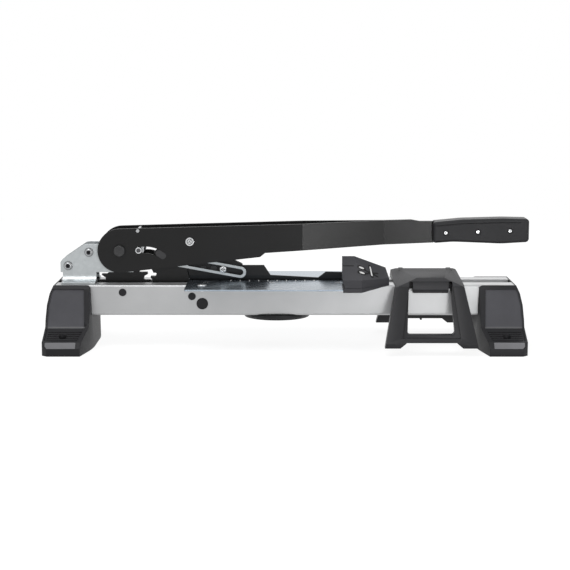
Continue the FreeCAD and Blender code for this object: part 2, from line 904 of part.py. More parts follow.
def cut_tread(body, end, step):
    """One shallow groove across the toe."""
    run = s.foot_rib_start + s.foot_rib_pitch * step
    share = run / ((s.foot_half_depth - s.foot_toe_front_inset) - s.foot_toe_back_depth)
    middle = s.foot_toe_back_depth + run
    height = blend(s.foot_toe_back_height, s.foot_toe_front_height, share)
    half = s.foot_rib_width / 2
    notch = [
        ((middle - half) * end, height - s.foot_rib_depth),
        ((middle + half) * end, height - s.foot_rib_depth),
        ((middle + half) * end, height + PAST * 2), ((middle - half) * end, height + PAST * 2),
    ]
    low = -past_end(s.foot_top_outer_offset) - PAST
    high = -past_end(s.foot_toe_inner_offset) - s.foot_panel_border
    pocket(body, "YZ", low, high, [notch])


def pad_corners(side, end):
    """Opposite corners of one rubber pad; side and end are -1 or 1."""
    middle_x = blend(past_end(s.foot_top_outer_offset), past_end(s.foot_top_inner_offset), 0.5)
    low_x = middle_x - s.pad_length / 2
    high_x = middle_x + s.pad_length / 2
    if side < 0:
        low_x, high_x = -high_x, -low_x
    near = s.pad_depth
    far = s.pad_depth + s.pad_width
    if end < 0:
        near, far = -far, -near
    return (low_x, near, ZERO), (high_x, far, s.pad_thickness)


def build_foot_hardware():
    pads = []
    screws = []
    low = s.beam_top - s.beam_height
    under = low - s.foot_seat_thickness
    for side in (-1, 1):
        for end in (-1, 1):
            pads.append(box(*pad_corners(side, end)))
            spot = (past_end(s.foot_screw_offset) * side, lip_middle() * end)
            head = cylinder(spot + (under - s.foot_screw_head,), s.foot_screw_head_radius,
                            s.foot_screw_head)
            shank = cylinder(spot + (under,), s.foot_screw_radius,
                             s.foot_seat_thickness + s.beam_sheet + s.foot_screw_tail)
            screws.append(fuse([head, shank]))
    node("foot_pads", group(pads))
    node("foot_screws", group(screws))


def main_pivot():
    return (s.pivot_along, above(s.pivot_rise))


def blade_pivot():
    along, height = main_pivot()
    return (along + s.blade_pivot_ahead, height + s.blade_pivot_rise)


def slot_centre():
    """Centre of the latch slot's arc."""
    along, height = main_pivot()
    return (along + s.slot_centre_ahead, height - s.slot_centre_drop)


def cross_rod_place():
    along, height = main_pivot()
    return (along + s.cross_rod_ahead, height + s.cross_rod_rise)


def link_pin():
    """The fixed pin on which the slotted links turn."""
    along, height = main_pivot()
    return (along + s.link_pin_ahead, height - s.link_pin_drop)


def link_bolt():
    """The bolt on the carrier that runs in the links' slots."""
    along, height = blade_pivot()
    return (along + s.link_bolt_ahead, height - s.link_bolt_drop)


def bracket_screw_places():
    return [
        (s.bracket_screw_low_along, above(s.bracket_screw_low_rise)),
        (s.bracket_screw_high_along, above(s.bracket_screw_high_rise)),
    ]


def build_bracket():
    """Two upright plates that carry the pivot, each with a curved foot."""
    inner = s.bracket_inner
    outer = s.bracket_inner + s.bracket_sheet
    face = [
        (s.bracket_left, above(s.bracket_bottom_rise)),
        (s.pivot_along + s.bracket_reach_right, above(s.bracket_bottom_rise)),
        (s.pivot_along + s.bracket_reach_right, above(s.bracket_top_rise), s.bracket_corner),
        (s.bracket_slope_head, above(s.bracket_top_rise), s.bracket_corner),
        (s.bracket_slope_foot, above(s.bracket_slope_foot_rise), s.bracket_corner / 2),
        (s.bracket_left, above(s.bracket_side_top_rise)),
    ]
    holes = [(spot, s.bracket_screw_radius) for spot in bracket_screw_places()]
    holes.append((main_pivot(), s.pivot_radius))
    body = plate("XZ", -outer, -inner, [face] + holes)
    floor = s.beam_top
    sheet_top = s.beam_top + s.bracket_sheet
    neck = above(s.bracket_bottom_rise) + PAST
    foot = [
        (-inner, neck), (-outer, neck), (-outer, sheet_top, s.tab_bend),
        (-s.tab_reach, sheet_top), (-s.tab_reach, floor),
        (-inner, floor, s.tab_bend + s.bracket_sheet),
    ]
    pad(body, "YZ", s.tab_left, s.tab_right, [foot])
    front = node("bracket_front", body)
    node("bracket_rear", mirrored(front, ALONG_Y))
    spacers = []
    screws = []
    nuts = []
    for along, height in bracket_screw_places():
        start = (along, -inner, height)
        spacers.append(tube(start, s.bracket_spacer_radius, s.bracket_screw_radius,
                            inner * 2, "Y"))
        head = cylinder((along, -outer - s.bracket_screw_head, height),
                        s.bracket_screw_head_radius, s.bracket_screw_head, "Y")
        shank = cylinder((along, -outer, height), s.bracket_screw_radius,
                         outer * 2 + s.bracket_nut_thickness + s.screw_tail, "Y")
        screws.append(fuse([head, shank]))
        nut = hexagon((along, outer, height), s.bracket_nut_across, s.bracket_nut_thickness, "Y")
        hole = cylinder((along, outer, height), s.bracket_screw_radius,
                        s.bracket_nut_thickness, "Y")
        nuts.append(cut(nut, [hole]))
    node("bracket_spacers", group(spacers))
    node("bracket_screws", group(screws))
    node("bracket_nuts", group(nuts))


def build_pivot():
    """Hex bolt through bracket and lever, with its bush, washers and nut."""
    at = main_pivot()
    outer = s.lever_inner + s.lever_sheet
    clear = outer + s.face_gap * 2
    head = hexagon((at[0], -clear - s.pivot_head, at[1]), s.pivot_head_across, s.pivot_head, "Y")
    shank = cylinder((at[0], -clear, at[1]), s.pivot_radius,
                     clear * 2 + s.pivot_nut_thickness + s.pivot_tail, "Y")
    node("pivot_bolt", fuse([head, shank]))
    nut = hexagon((at[0], clear, at[1]), s.pivot_head_across, s.pivot_nut_thickness, "Y")
    hole = cylinder((at[0], clear, at[1]), s.pivot_radius, s.pivot_nut_thickness, "Y")
    node("pivot_nut", cut(nut, [hole]))
    inner = s.bracket_inner
    node("pivot_bush", tube((at[0], -inner, at[1]), s.pivot_bush_radius, s.pivot_radius,
                            inner * 2, "Y"))
    gap = s.lever_inner - inner - s.bracket_sheet - s.face_gap * 2
    washers = []
    for start in (inner + s.bracket_sheet, -(inner + s.bracket_sheet) - gap):
        washers.append(tube((at[0], start, at[1]), s.pivot_washer_radius, s.pivot_radius,
                            gap, "Y"))
    node("pivot_washers", group(washers))


def slot_point(angle):
    """A point on the latch slot's centre line."""
    return (slot_centre()[0] + s.slot_path_radius * cosine(angle),
            slot_centre()[1] + s.slot_path_radius * sine(angle))


def lever_profile():
    """Outline of the lever seen from the front, from the round end clockwise."""
    left = s.pivot_along - s.lever_round
    rounding = s.lever_round - s.running_gap
    return [
        (left, above(s.lever_low_left_rise), rounding),
        (s.lever_low_step_along, above(s.lever_low_step_rise)),
        (s.lever_high_step_along, above(s.lever_high_step_rise)),
        (s.lever_bend_start, above(s.lever_bend_start_low_rise)),
        (s.lever_bend_end, above(s.lever_bend_end_low_rise)),
        (s.lever_neck_end, above(s.lever_neck_low_rise)),
        (s.tang_start, above(s.tang_low_rise)), (s.tang_end, above(s.tang_low_rise)),
        (s.tang_end, above(s.tang_top_rise)), (s.tang_start, above(s.tang_top_rise)),
        (s.lever_neck_end, above(s.lever_neck_top_rise)),
        (s.lever_shoulder_end, above(s.lever_neck_top_rise)),
        (s.lever_shoulder, above(s.lever_top_right_rise)),
        (left, above(s.lever_top_left_rise), rounding),
    ]


def grip_screw_places():
    places = []
    for step in range(int(s.grip_screw_count.value)):
        places.append((s.grip_screw_first + s.grip_screw_pitch * step,
                       above(s.grip_screw_base_rise) + s.grip_screw_rise * step))
    return places


def build_lever():
    """Two bent plates that run parallel, then close up to the tang."""
    inner = s.lever_inner
    outer = s.lever_inner + s.lever_sheet
    left = s.pivot_along - s.lever_round
    plan = [
        (left - PAST, -outer), (s.lever_bend_start, -outer), (s.lever_bend_end, -s.lever_sheet),
        (s.tang_end + PAST, -s.lever_sheet), (s.tang_end + PAST, ZERO), (s.lever_bend_end, ZERO),
        (s.lever_bend_start, -inner), (left - PAST, -inner),
    ]
    low = above(s.lever_low_left_rise) - PAST
    high = above(s.lever_top_right_rise) + PAST
    body = plate("XY", low, high, [plan])
    frame = (left - PAST * 2, low - PAST * 2, s.tang_end + PAST * 2, high + PAST * 2)
    holes = [
        (main_pivot(), s.pivot_radius + s.running_gap),
        (blade_pivot(), s.blade_pivot_radius),
        (cross_rod_place(), s.cross_rod_radius),
    ]
    holes += [(spot, s.grip_screw_radius) for spot in grip_screw_places()]
    trim(body, "XZ", -outer - PAST, ZERO + PAST, frame, lever_profile(), holes)
    slot = slot_tool(-outer - PAST, s.lever_sheet + PAST * 2, s.slot_half_width,
                     s.slot_start_angle, s.slot_end_angle)
    front = node("lever_plate_front", cut(body, [slot]))
    node("lever_plate_rear", mirrored(front, ALONG_Y))
    reach = outer + s.cross_rod_proud
    rod = cylinder((cross_rod_place()[0], -reach, cross_rod_place()[1]), s.cross_rod_radius,
                   reach * 2, "Y")
    node("cross_rod", rod)


def slot_tool(start, length, half_width, first, last):
    """Curved bar with round ends, written into the document as one shape."""
    centre = FreeCAD.Vector(slot_centre()[0].value, number(start), slot_centre()[1].value)
    towards = FreeCAD.Vector(0, 1, 0)
    radius = s.slot_path_radius.value
    half = number(half_width)
    thick = number(length)
    ring = Part.makeCylinder(radius + half, thick, centre, towards).cut(
        Part.makeCylinder(radius - half, thick, centre, towards))
    reach = radius * 2
    first_way = FreeCAD.Vector(math.cos(math.radians(number(first))), 0,
                               math.sin(math.radians(number(first))))
    last_way = FreeCAD.Vector(math.cos(math.radians(number(last))), 0,
                              math.sin(math.radians(number(last))))
    wedge = Part.makePolygon(
        [centre, centre + first_way * reach, centre + last_way * reach, centre])
    sector = Part.Face(wedge).extrude(towards * thick)
    bar = ring.common(sector)
    for way in (first_way, last_way):
        bar = bar.fuse(Part.makeCylinder(half, thick, centre + way * radius, towards))
    item = doc.addObject("Part::Feature", "CurvedBar")
    item.Shape = bar.removeSplitter()
    return item


def build_latch():
    """Cross pin that slides in the two curved slots, with its inner washers."""
    along, height = slot_point(s.slot_start_angle)
    outer = s.lever_inner + s.lever_sheet
    reach = outer + s.latch_proud
    radius = s.slot_half_width - s.latch_gap
    node("latch_pin", cylinder((along, -reach, height), radius, reach * 2, "Y"))
    washers = []
    start = s.lever_inner - s.latch_side_gap - s.latch_washer_thickness
    for low in (start, -start - s.latch_washer_thickness):
        washers.append(tube((along, low, height), s.latch_washer_radius, radius,
                            s.latch_washer_thickness, "Y"))
    node("latch_washers", group(washers))


def build_stop_blocks():
    """Grey blocks that fill the far end of each slot and end the latch's travel."""
    outer = s.lever_inner + s.lever_sheet
    blocks = []
    for side in (-1, 1):
        start = s.lever_inner if side > 0 else -outer
        core = slot_tool(start, s.lever_sheet, s.slot_half_width,
                         s.slot_stop_angle, s.slot_end_angle)
        rim_start = s.lever_inner - s.stop_flange if side > 0 else -s.lever_inner
        rim = slot_tool(rim_start, s.stop_flange, s.slot_half_width + s.stop_flange,
                        s.slot_stop_angle, s.slot_end_angle)
        blocks.append(fuse([core, rim]))
    node("stop_blocks", group(blocks))


def build_blade_pivot():
    """Rivet across the lever, with a spacer tube on each side of the carrier."""
    at = blade_pivot()
    outer = s.lever_inner + s.lever_sheet
    head = cylinder((at[0], -outer - s.rivet_head, at[1]), s.rivet_head_radius, s.rivet_head, "Y")
    shank = cylinder((at[0], -outer, at[1]), s.blade_pivot_radius, outer * 2, "Y")
    tail = cylinder((at[0], outer, at[1]), s.rivet_head_radius, s.rivet_head, "Y")
    node("blade_rivet", fuse([head, shank, tail]))
    inner = carrier_outer() + s.face_gap
    length = s.lever_inner - inner
    spacers = []
    for start in (inner, -s.lever_inner):
        spacers.append(tube((at[0], start, at[1]), s.rivet_spacer_radius, s.blade_pivot_radius,
                            length, "Y"))
    node("rivet_spacers", group(spacers))


def carrier_outer():
    return s.blade_thickness / 2 + s.carrier_sheet


def carrier_screw_places():
    along, height = blade_pivot()
    height = height - s.carrier_screw_drop
    return [
        (along + s.carrier_screw_left_ahead, height), (along + s.carrier_screw_mid_ahead, height),
    ]


def build_blade():
    """Blade with a ground bevel, clamped between two carrier plates."""
    half = s.blade_thickness / 2
    edge = above(s.blade_edge_rise)
    back = link_bolt()[1] + s.blade_back_margin
    face = [
        (s.blade_heel, edge), (s.blade_tip - s.blade_tip_chamfer, edge),
        (s.blade_tip, edge + s.blade_tip_rise),
        (s.blade_tip, above(s.blade_tip_top_rise), s.blade_tip_round),
        (s.blade_nose, above(s.blade_nose_rise)), (s.blade_waist, above(s.blade_waist_rise)),
        (s.blade_step_low, above(s.blade_step_low_rise)), (s.blade_step_top, back),
        (s.blade_heel_top, back), (s.blade_heel, above(s.blade_heel_rise)),
    ]
    holes = [(spot, s.carrier_screw_radius) for spot in carrier_screw_places()]
    holes.append((link_bolt(), s.link_bolt_radius))
    body = plate("XZ", -half, half, [face] + holes)
    bevel = [
        (-half - PAST, edge - PAST), (half - s.blade_bevel_land, edge - PAST),
        (half - s.blade_bevel_land, edge), (-half, edge + s.blade_bevel_height),
        (-half - PAST, edge + s.blade_bevel_height),
    ]
    pocket(body, "YZ", s.blade_heel - PAST, s.blade_tip + PAST, [bevel])
    node("blade", body)
    boss = s.carrier_boss
    left = blade_pivot()[0] - boss
    right = blade_pivot()[0] + boss
    top = blade_pivot()[1] + boss
    side = [
        (left, top, s.carrier_boss_round), (left, blade_pivot()[1] - boss),
        (s.carrier_left_low, above(s.carrier_low_rise)),
        (s.carrier_right, above(s.carrier_low_rise), s.carrier_corner),
        (s.carrier_right, above(s.carrier_right_top_rise), s.carrier_corner),
        (blade_pivot()[0] + s.carrier_shoulder, blade_pivot()[1] - boss),
        (right, top, s.carrier_boss_round),
    ]
    bores = holes + [(blade_pivot(),
                      s.blade_pivot_radius + s.running_gap)]
    front = node("carrier_front", plate("XZ", -carrier_outer(), -half, [side] + bores))
    node("carrier_rear", mirrored(front, ALONG_Y))
    node("carrier_spacer", tube((blade_pivot()[0], -half, blade_pivot()[1]),
                                s.carrier_spacer_radius,
                                s.blade_pivot_radius + s.running_gap,
                                s.blade_thickness, "Y"))
    screws = []
    for along, height in carrier_screw_places():
        head = cylinder((along, -carrier_outer() - s.carrier_screw_head, height),
                        s.carrier_screw_head_radius, s.carrier_screw_head, "Y")
        shank = cylinder((along, -carrier_outer(), height), s.carrier_screw_radius,
                         carrier_outer() * 2 + s.screw_tail, "Y")
        screws.append(fuse([head, shank]))
    node("carrier_screws", group(screws))


def build_links():
    """Two slotted straps that steady the blade as it rises."""
    w = s.link_half_width
    n = s.link_slot_half
    strap = [
        (-w, -w, w * ROUND_END), (s.link_length + w, -w, w * ROUND_END),
        (s.link_length + w, w, w * ROUND_END), (-w, w, w * ROUND_END),
    ]
    slot = [
        (s.link_slot_start, -n, n * ROUND_END), (s.link_slot_end + n, -n, n * ROUND_END),
        (s.link_slot_end + n, n, n * ROUND_END), (s.link_slot_start, n, n * ROUND_END),
    ]
    hole = ((ZERO, ZERO), s.link_pin_radius + s.running_gap)
    outer = s.link_inner + s.link_sheet
    tilt = FreeCAD.Rotation(FreeCAD.Vector(0, 1, 0), s.link_tilt.value)
    for name, low, high in (("link_front", -outer, -s.link_inner),
                            ("link_rear", s.link_inner, outer)):
        body = plate("XZ", low, high, [strap, slot, hole])
        place(body, (link_pin()[0], ZERO, link_pin()[1]), tilt)
        bind(body, "Placement.Rotation.Angle", s.link_tilt)
        node(name, body)
    at = link_pin()
    reach = outer + s.face_gap
    pin = cylinder((at[0], -reach, at[1]), s.link_pin_radius, reach * 2, "Y")
    heads = []
    for start in (reach, -reach - s.link_bolt_head):
        heads.append(cylinder((at[0], start, at[1]), s.link_pin_head_radius,
                              s.link_bolt_head, "Y"))
    node("link_pin", fuse([pin] + heads))
    washers = []
    thick = s.link_inner - s.catch_half_thickness - s.face_gap
    for start in (s.catch_half_thickness, -s.catch_half_thickness - thick):
        washers.append(tube((at[0], start, at[1]), s.link_washer_radius, s.link_pin_radius,
                            thick, "Y"))
    node("link_washers", group(washers))
    spot = link_bolt()
    face = outer + s.link_side_gap
    head = cylinder((spot[0], -face - s.link_bolt_head, spot[1]), s.link_bolt_head_radius,
                    s.link_bolt_head, "Y")
    shank = cylinder((spot[0], -face, spot[1]), s.link_bolt_radius,
                     face * 2 + s.link_bolt_head + s.screw_tail, "Y")
    node("link_bolt", fuse([head, shank]))
    nut = hexagon((spot[0], face, spot[1]), s.link_bolt_head_radius * 2, s.link_bolt_head, "Y")
    hole = cylinder((spot[0], face, spot[1]), s.link_bolt_radius, s.link_bolt_head, "Y")
    node("link_nut", cut(nut, [hole]))


def build_catches():
    """Two black plates that stand in the groove under the lever."""
    half = s.catch_half_thickness
    floor = s.beam_top - s.groove_depth
    rear = [
        (s.catch_left, floor), (s.catch_end, floor), (s.catch_end, above(s.catch_bay_low_rise)),
        (s.catch_bay_left, above(s.catch_bay_low_rise), s.catch_bay_corner),
        (s.catch_throat, above(s.catch_throat_rise)),
        (s.catch_nose, above(s.catch_nose_low_rise)),
        (s.catch_nose_back, above(s.catch_nose_rise)), (s.catch_right, above(s.catch_nose_rise)),
        (s.catch_right, above(s.catch_top_rise)), (s.catch_slope_head, above(s.catch_top_rise)),
        (s.catch_hook_slope, above(s.catch_hook_high_rise)),
        (s.catch_hook_tip, above(s.catch_hook_high_rise)),
        (s.catch_hook_tip, above(s.catch_hook_low_rise)),
        (s.catch_hook_foot, above(s.catch_hook_root_rise)),
        (s.catch_hook_foot, above(s.catch_bar_top_rise)),
        (s.catch_left, above(s.catch_bar_top_rise)),
    ]
    left, middle, right = catch_screw_places()
    body = plate("XZ", -half, half, [rear])
    tools = []
    for along in (left, middle):
        tools.append(cylinder((along, ZERO, floor), s.catch_screw_radius, s.groove_depth))
    node("catch_plate", cut(body, tools))
    guide = [
        (s.guide_left, floor), (s.table_left - s.seat_gap, floor),
        (s.table_left - s.seat_gap, above(s.table_sheet + s.seat_gap)),
        (s.guide_right, above(s.table_sheet + s.seat_gap)),
        (s.guide_right, above(s.guide_right_rise)), (s.guide_bend, above(s.guide_bend_rise)),
        (s.guide_slope, above(s.guide_boss_foot_rise)),
        (link_pin()[0] + s.guide_boss_reach_right, above(s.guide_boss_foot_rise)),
        (link_pin()[0] + s.guide_boss_reach_right, above(s.guide_top_rise), s.guide_boss_round),
        (link_pin()[0] - s.guide_boss_reach_left, above(s.guide_top_rise), s.guide_boss_round),
        (link_pin()[0] - s.guide_boss_reach_left, above(s.guide_boss_foot_rise)),
        (s.guide_shoulder, above(s.guide_shoulder_rise)),
        (s.guide_notch_left, above(s.guide_notch_top_rise)),
        (s.guide_notch, above(s.guide_notch_top_rise), s.guide_notch_round),
        (s.guide_notch_low_along, above(s.guide_hook_high_rise)),
        (s.guide_hook_tip, above(s.guide_hook_high_rise)),
        (s.guide_hook_tip, above(s.guide_hook_low_rise)),
        (s.guide_left, above(s.guide_hook_root_rise)),
    ]
    hole = (link_pin(), s.link_pin_radius)
    body = plate("XZ", -half, half, [guide, hole])
    tool = cylinder((right, ZERO, floor), s.catch_screw_radius, s.groove_depth)
    near = carrier_outer() + s.seat_gap
    far = near + s.guide_leaf_sheet
    low = above(s.table_sheet + s.seat_gap)
    top = above(s.guide_leaf_top_rise)
    root = box((s.guide_leaf_left, half, low), (s.guide_leaf_step, far, top))
    leaf = box((s.guide_leaf_step, near, low), (s.guide_leaf_right, far, top))
    node("guide_plate", cut(fuse([body, root, leaf]), [tool]))
    screws = []
    under = floor - s.beam_sheet
    for along in (left, middle, right):
        head = cylinder((along, ZERO, under - s.catch_screw_head), s.catch_screw_head_radius,
                        s.catch_screw_head)
        shank = cylinder((along, ZERO, under), s.catch_screw_radius,
                         s.beam_sheet + s.groove_depth)
        screws.append(fuse([head, shank]))
    node("catch_screws", group(screws))


def build_anvil():
    """Slotted cutting bar that fills the groove under the blade."""
    half = s.groove_half_width - s.seat_gap
    floor = s.beam_top - s.groove_depth
    slot = s.anvil_slot_half
    section = [
        (-half, floor), (half, floor), (half, s.beam_top), (slot, s.beam_top),
        (slot, floor + s.anvil_floor), (-slot, floor + s.anvil_floor), (-slot, s.beam_top),
        (-half, s.beam_top),
    ]
    node("cutting_bar", plate("YZ", s.anvil_left, s.anvil_right, [section]))


def countersunk(spot, top, length):
    """Countersunk screw with its head flush at the given height."""
    shank = cylinder(spot + (top - length,), s.table_screw_radius, length - s.table_screw_head)
    head = cone(spot + (top - s.table_screw_head,), s.table_screw_radius,
                s.table_screw_head_radius, s.table_screw_head)
    return shank, head


def build_table():
    """Bright plates on each side of the blade."""
    low = s.beam_top
    high = s.beam_top + s.table_sheet
    slot = s.table_slot_half
    left = s.table_left
    right = s.table_right
    front_edge = [
        (left, -s.table_front, s.table_corner), (s.table_lip_start, -s.table_front),
        (s.table_lip_start, -s.table_front - s.table_lip_step),
        (s.table_lip_end, -s.table_front - s.table_lip_step), (s.table_lip_end, -s.table_front),
        (s.table_cut_along, -s.table_front), (right, -s.table_cut_depth), (right, -slot),
        (left, -slot),
    ]
    rear_edge = [(left, slot), (right, slot), (right, s.table_rear, s.table_corner),
                 (left, s.table_rear, s.table_corner)]
    pivot = ((s.fence_pivot_along, -s.fence_pivot_depth), s.fence_pivot_radius)
    button = ((s.button_along, -s.button_depth), s.button_stem_radius)
    length = s.table_sheet + s.beam_sheet + s.table_screw_tail
    screws = []
    for name, side, edge, holes in (("table_front", -1, front_edge, [pivot, button]),
                                    ("table_rear", 1, rear_edge, [])):
        body = plate("XY", low, high, [edge] + holes)
        tools = []
        for along in table_screw_places():
            spot = (along, s.table_screw_depth * side)
            tools += countersunk(spot, high, length)
            screws.append(fuse(list(countersunk(spot, high, length))))
        node(name, cut(body, tools))
    node("table_screws", group(screws))
    head = cylinder((s.button_along, -s.button_depth, high), s.button_radius, s.button_head)
    stem_low = low - s.button_stem_tail
    stem = cylinder((s.button_along, -s.button_depth, stem_low), s.button_stem_radius,
                    high - stem_low)
    node("table_button", fuse([head, stem]))


def fence_plan():
    """Corners of the fence seen from above."""
    return [
        (s.fence_left, -s.fence_front), (s.fence_front_right, -s.fence_front),
        (s.fence_corner_along, -s.fence_corner_depth),
        (s.fence_back_right_along, -s.fence_back_right_depth),
        (s.fence_back_along, -s.fence_back_depth), (s.fence_left, -s.fence_back_depth),
    ]


def build_fence():
    """Fixed shoe over the table's edge and the faceted block that swings on it."""
    table_top = s.beam_top + s.table_sheet
    low = above(s.fence_shoe_low_rise)
    shoe = plate("XY", low, s.fence_shoe_top, [fence_plan()])
    edge = s.table_front + s.fence_edge_gap
    right = s.table_right + s.fence_edge_gap
    turn = s.table_cut_along + s.fence_edge_gap
    seat = plate("XY", low - PAST, table_top, [[
        (s.fence_left - PAST, -edge), (turn, -edge), (right, -s.table_cut_depth),
        (right, ZERO), (s.fence_left - PAST, ZERO),
    ]])
    under = plate("YZ", s.fence_left - PAST, s.fence_corner_along + PAST, [[
        (-s.fence_front, low), (-s.fence_corner_depth, table_top), (ZERO, table_top),
        (ZERO, low - PAST), (-s.fence_front, low - PAST),
    ]])
    hole = cylinder((s.fence_pivot_along, -s.fence_pivot_depth, table_top),
                    s.fence_pivot_radius, s.fence_shoe_top - table_top)
    node("fence_shoe", cut(shoe, [seat, under, hole]))
    low = number(s.fence_shoe_top + s.fence_gap)
    floor = [FreeCAD.Vector(number(x), number(y), low) for x, y in fence_plan()]
    front_top = number(above(s.fence_front_top_rise))
    back_top = number(above(s.fence_back_top_rise))
    corner_top = number(above(s.fence_corner_top_rise))
    tops = [front_top, front_top, corner_top, None, back_top, back_top]
    crown = [FreeCAD.Vector(p.x, p.y, z or 0) for p, z in zip(floor, tops)]
    slope = (crown[2] - crown[1]).cross(crown[4] - crown[1])
    free = crown[3]
    drop = slope.x * (free.x - crown[1].x) + slope.y * (free.y - crown[1].y)
    crown[3] = FreeCAD.Vector(free.x, free.y, front_top - drop / slope.z)
    rings = [list(reversed(floor)), [crown[0], crown[1], crown[4], crown[5]],
             [crown[1], crown[2], crown[3], crown[4]]]
    for i in range(len(floor)):
        j = (i + 1) % len(floor)
        rings.append([floor[i], floor[j], crown[j], crown[i]])
    faces = [Part.Face(Part.makePolygon(ring + [ring[0]])) for ring in rings]
    solid = Part.makeSolid(Part.makeShell(faces))
    block = doc.addObject("Part::Feature", "FenceBlock")
    block.Shape = solid
    bore_low = s.fence_shoe_top
    bore = cylinder((s.fence_pivot_along, -s.fence_pivot_depth, bore_low),
                    s.fence_pivot_radius + s.running_gap,
                    above(s.fence_pivot_top_rise) - bore_low + s.fence_gap)
    climb = s.fence_back_top_rise - s.fence_front_top_rise
    rise = (s.fence_seam_rise - s.fence_front_top_rise) / climb
    across = -blend(s.fence_front, s.fence_back_depth, rise)
    half = s.fence_seam_width / 2
    seam_top = above(s.fence_seam_rise)
    seam = box((s.fence_left - PAST, across - half, seam_top - s.fence_seam_width),
               (s.fence_left + s.fence_seam_reach, across + half, seam_top + PAST * 2))
    node("fence_block", cut(block, [bore, fence_toe(), seam]))
    pin_low = s.beam_top - s.fence_pivot_head
    pin = cylinder((s.fence_pivot_along, -s.fence_pivot_depth, s.beam_top), s.fence_pivot_radius,
                   above(s.fence_pivot_top_rise) - s.beam_top)
    head = cylinder((s.fence_pivot_along, -s.fence_pivot_depth, pin_low),
                    s.fence_pivot_head_radius, s.fence_pivot_head)
    node("fence_pin", fuse([head, pin]))


def fence_toe():
    """Wedge that trims the front left foot of the fence."""
    body = new_body()
    low = above(s.fence_shoe_low_rise) - PAST
    corners = [
        (s.fence_left - PAST, low), (s.fence_left + s.fence_toe_cut, low),
        (s.fence_left, above(s.fence_toe_top_rise)),
        (s.fence_left - PAST, above(s.fence_toe_top_rise)),
    ]
    pad(body, "XZ", -s.fence_front - PAST, -s.fence_back_depth + PAST, [corners])
    return body


def build_trestle():
    """Support stand of one moulding, parked astride the beam."""
    middle = s.trestle_along
    low = s.trestle_bottom
    top = above(s.trestle_top_rise)
    seat = s.beam_top + s.trestle_seat_gap
    side = s.beam_half_width + s.trestle_side_gap
    rear = [
        (s.trestle_foot_depth - s.trestle_leg, low), (s.trestle_foot_depth, low),
        (s.trestle_foot_depth, low + s.trestle_foot_rise),
        (s.trestle_shoulder_depth, above(s.trestle_shoulder_rise)), (s.trestle_top_depth, top),
    ]
    front = [(-y, z) for y, z in reversed(rear)]
    inside = [(-side, seat - s.trestle_side_drop), (-side, seat), (side, seat),
              (side, seat - s.trestle_side_drop)]
    half = s.trestle_foot_half
    body = plate("YZ", middle - half, middle + half, [rear + front + inside])
    reach = s.trestle_foot_depth + PAST
    right = [
        (s.trestle_notch_half, s.trestle_bar_low), (s.trestle_foot_inner_half, low - PAST),
        (half, low - PAST), (s.trestle_leg_top_half, above(s.trestle_leg_top_rise)),
        (s.trestle_head_half, above(s.trestle_head_rise)), (s.trestle_crown_half, top + PAST / 2),
    ]
    left = [(-x, z) for x, z in reversed(right)]
    face = [(middle + x, z) for x, z in right + left]
    frame = (middle - half - PAST, low - PAST * 2, middle + half + PAST, top + PAST)
    window = [
        (middle - s.trestle_bar_half, s.trestle_bar_top, s.trestle_window_corner),
        (middle + s.trestle_bar_half, s.trestle_bar_top, s.trestle_window_corner),
        (middle + s.trestle_window_top_half, above(s.trestle_window_top_rise)),
        (middle - s.trestle_window_top_half, above(s.trestle_window_top_rise)),
    ]
    trim(body, "XZ", -reach, reach, frame, face, [window])
    edge = s.trestle_top_depth
    lip = [
        (middle - s.trestle_lip_half, above(s.trestle_lip_low_rise), s.trestle_lip_corner),
        (middle + s.trestle_lip_half, above(s.trestle_lip_low_rise), s.trestle_lip_corner),
        (middle + s.trestle_lip_half, top - PAST), (middle - s.trestle_lip_half, top - PAST),
    ]
    for near in (-edge, edge - s.trestle_lip_sheet):
        pad(body, "XZ", near, near + s.trestle_lip_sheet, [lip])
    crown = s.trestle_crown_half
    slope = s.trestle_ear_slope
    for near_x in (middle - crown, middle + crown - s.trestle_ear_length):
        far_x = near_x + s.trestle_ear_length
        ear = [
            (near_x, top - PAST), (far_x, top - PAST), (far_x - slope, top + s.trestle_ear),
            (near_x + slope, top + s.trestle_ear),
        ]
        for near in (-edge, edge - s.trestle_ear_length):
            pad(body, "XZ", near, near + s.trestle_ear_length, [ear])
    strips = [trestle_step(end) for end in (-1, 1)]
    node("trestle", cut(body, strips))


def trestle_step(end):
    """Shallow field around the window on one sloping face."""
    top_y = s.trestle_shoulder_depth
    top_z = above(s.trestle_shoulder_rise)
    foot_y = s.trestle_foot_depth
    foot_z = s.trestle_bottom + s.trestle_foot_rise
    lean = (foot_y - top_y) / (top_z - foot_z)
    start_z = above(s.trestle_step_top_rise)
    start_y = top_y + lean * (top_z - start_z)
    end_z = s.trestle_step_low
    end_y = top_y + lean * (top_z - end_z)
    depth = s.trestle_step_depth
    strip = [
        ((start_y - depth) * end, start_z), ((start_y + depth) * end, start_z),
        ((end_y + depth) * end, end_z), ((end_y - depth) * end, end_z),
    ]
    return plate("YZ", s.trestle_along - s.trestle_step_half,
                 s.trestle_along + s.trestle_step_half, [strip])


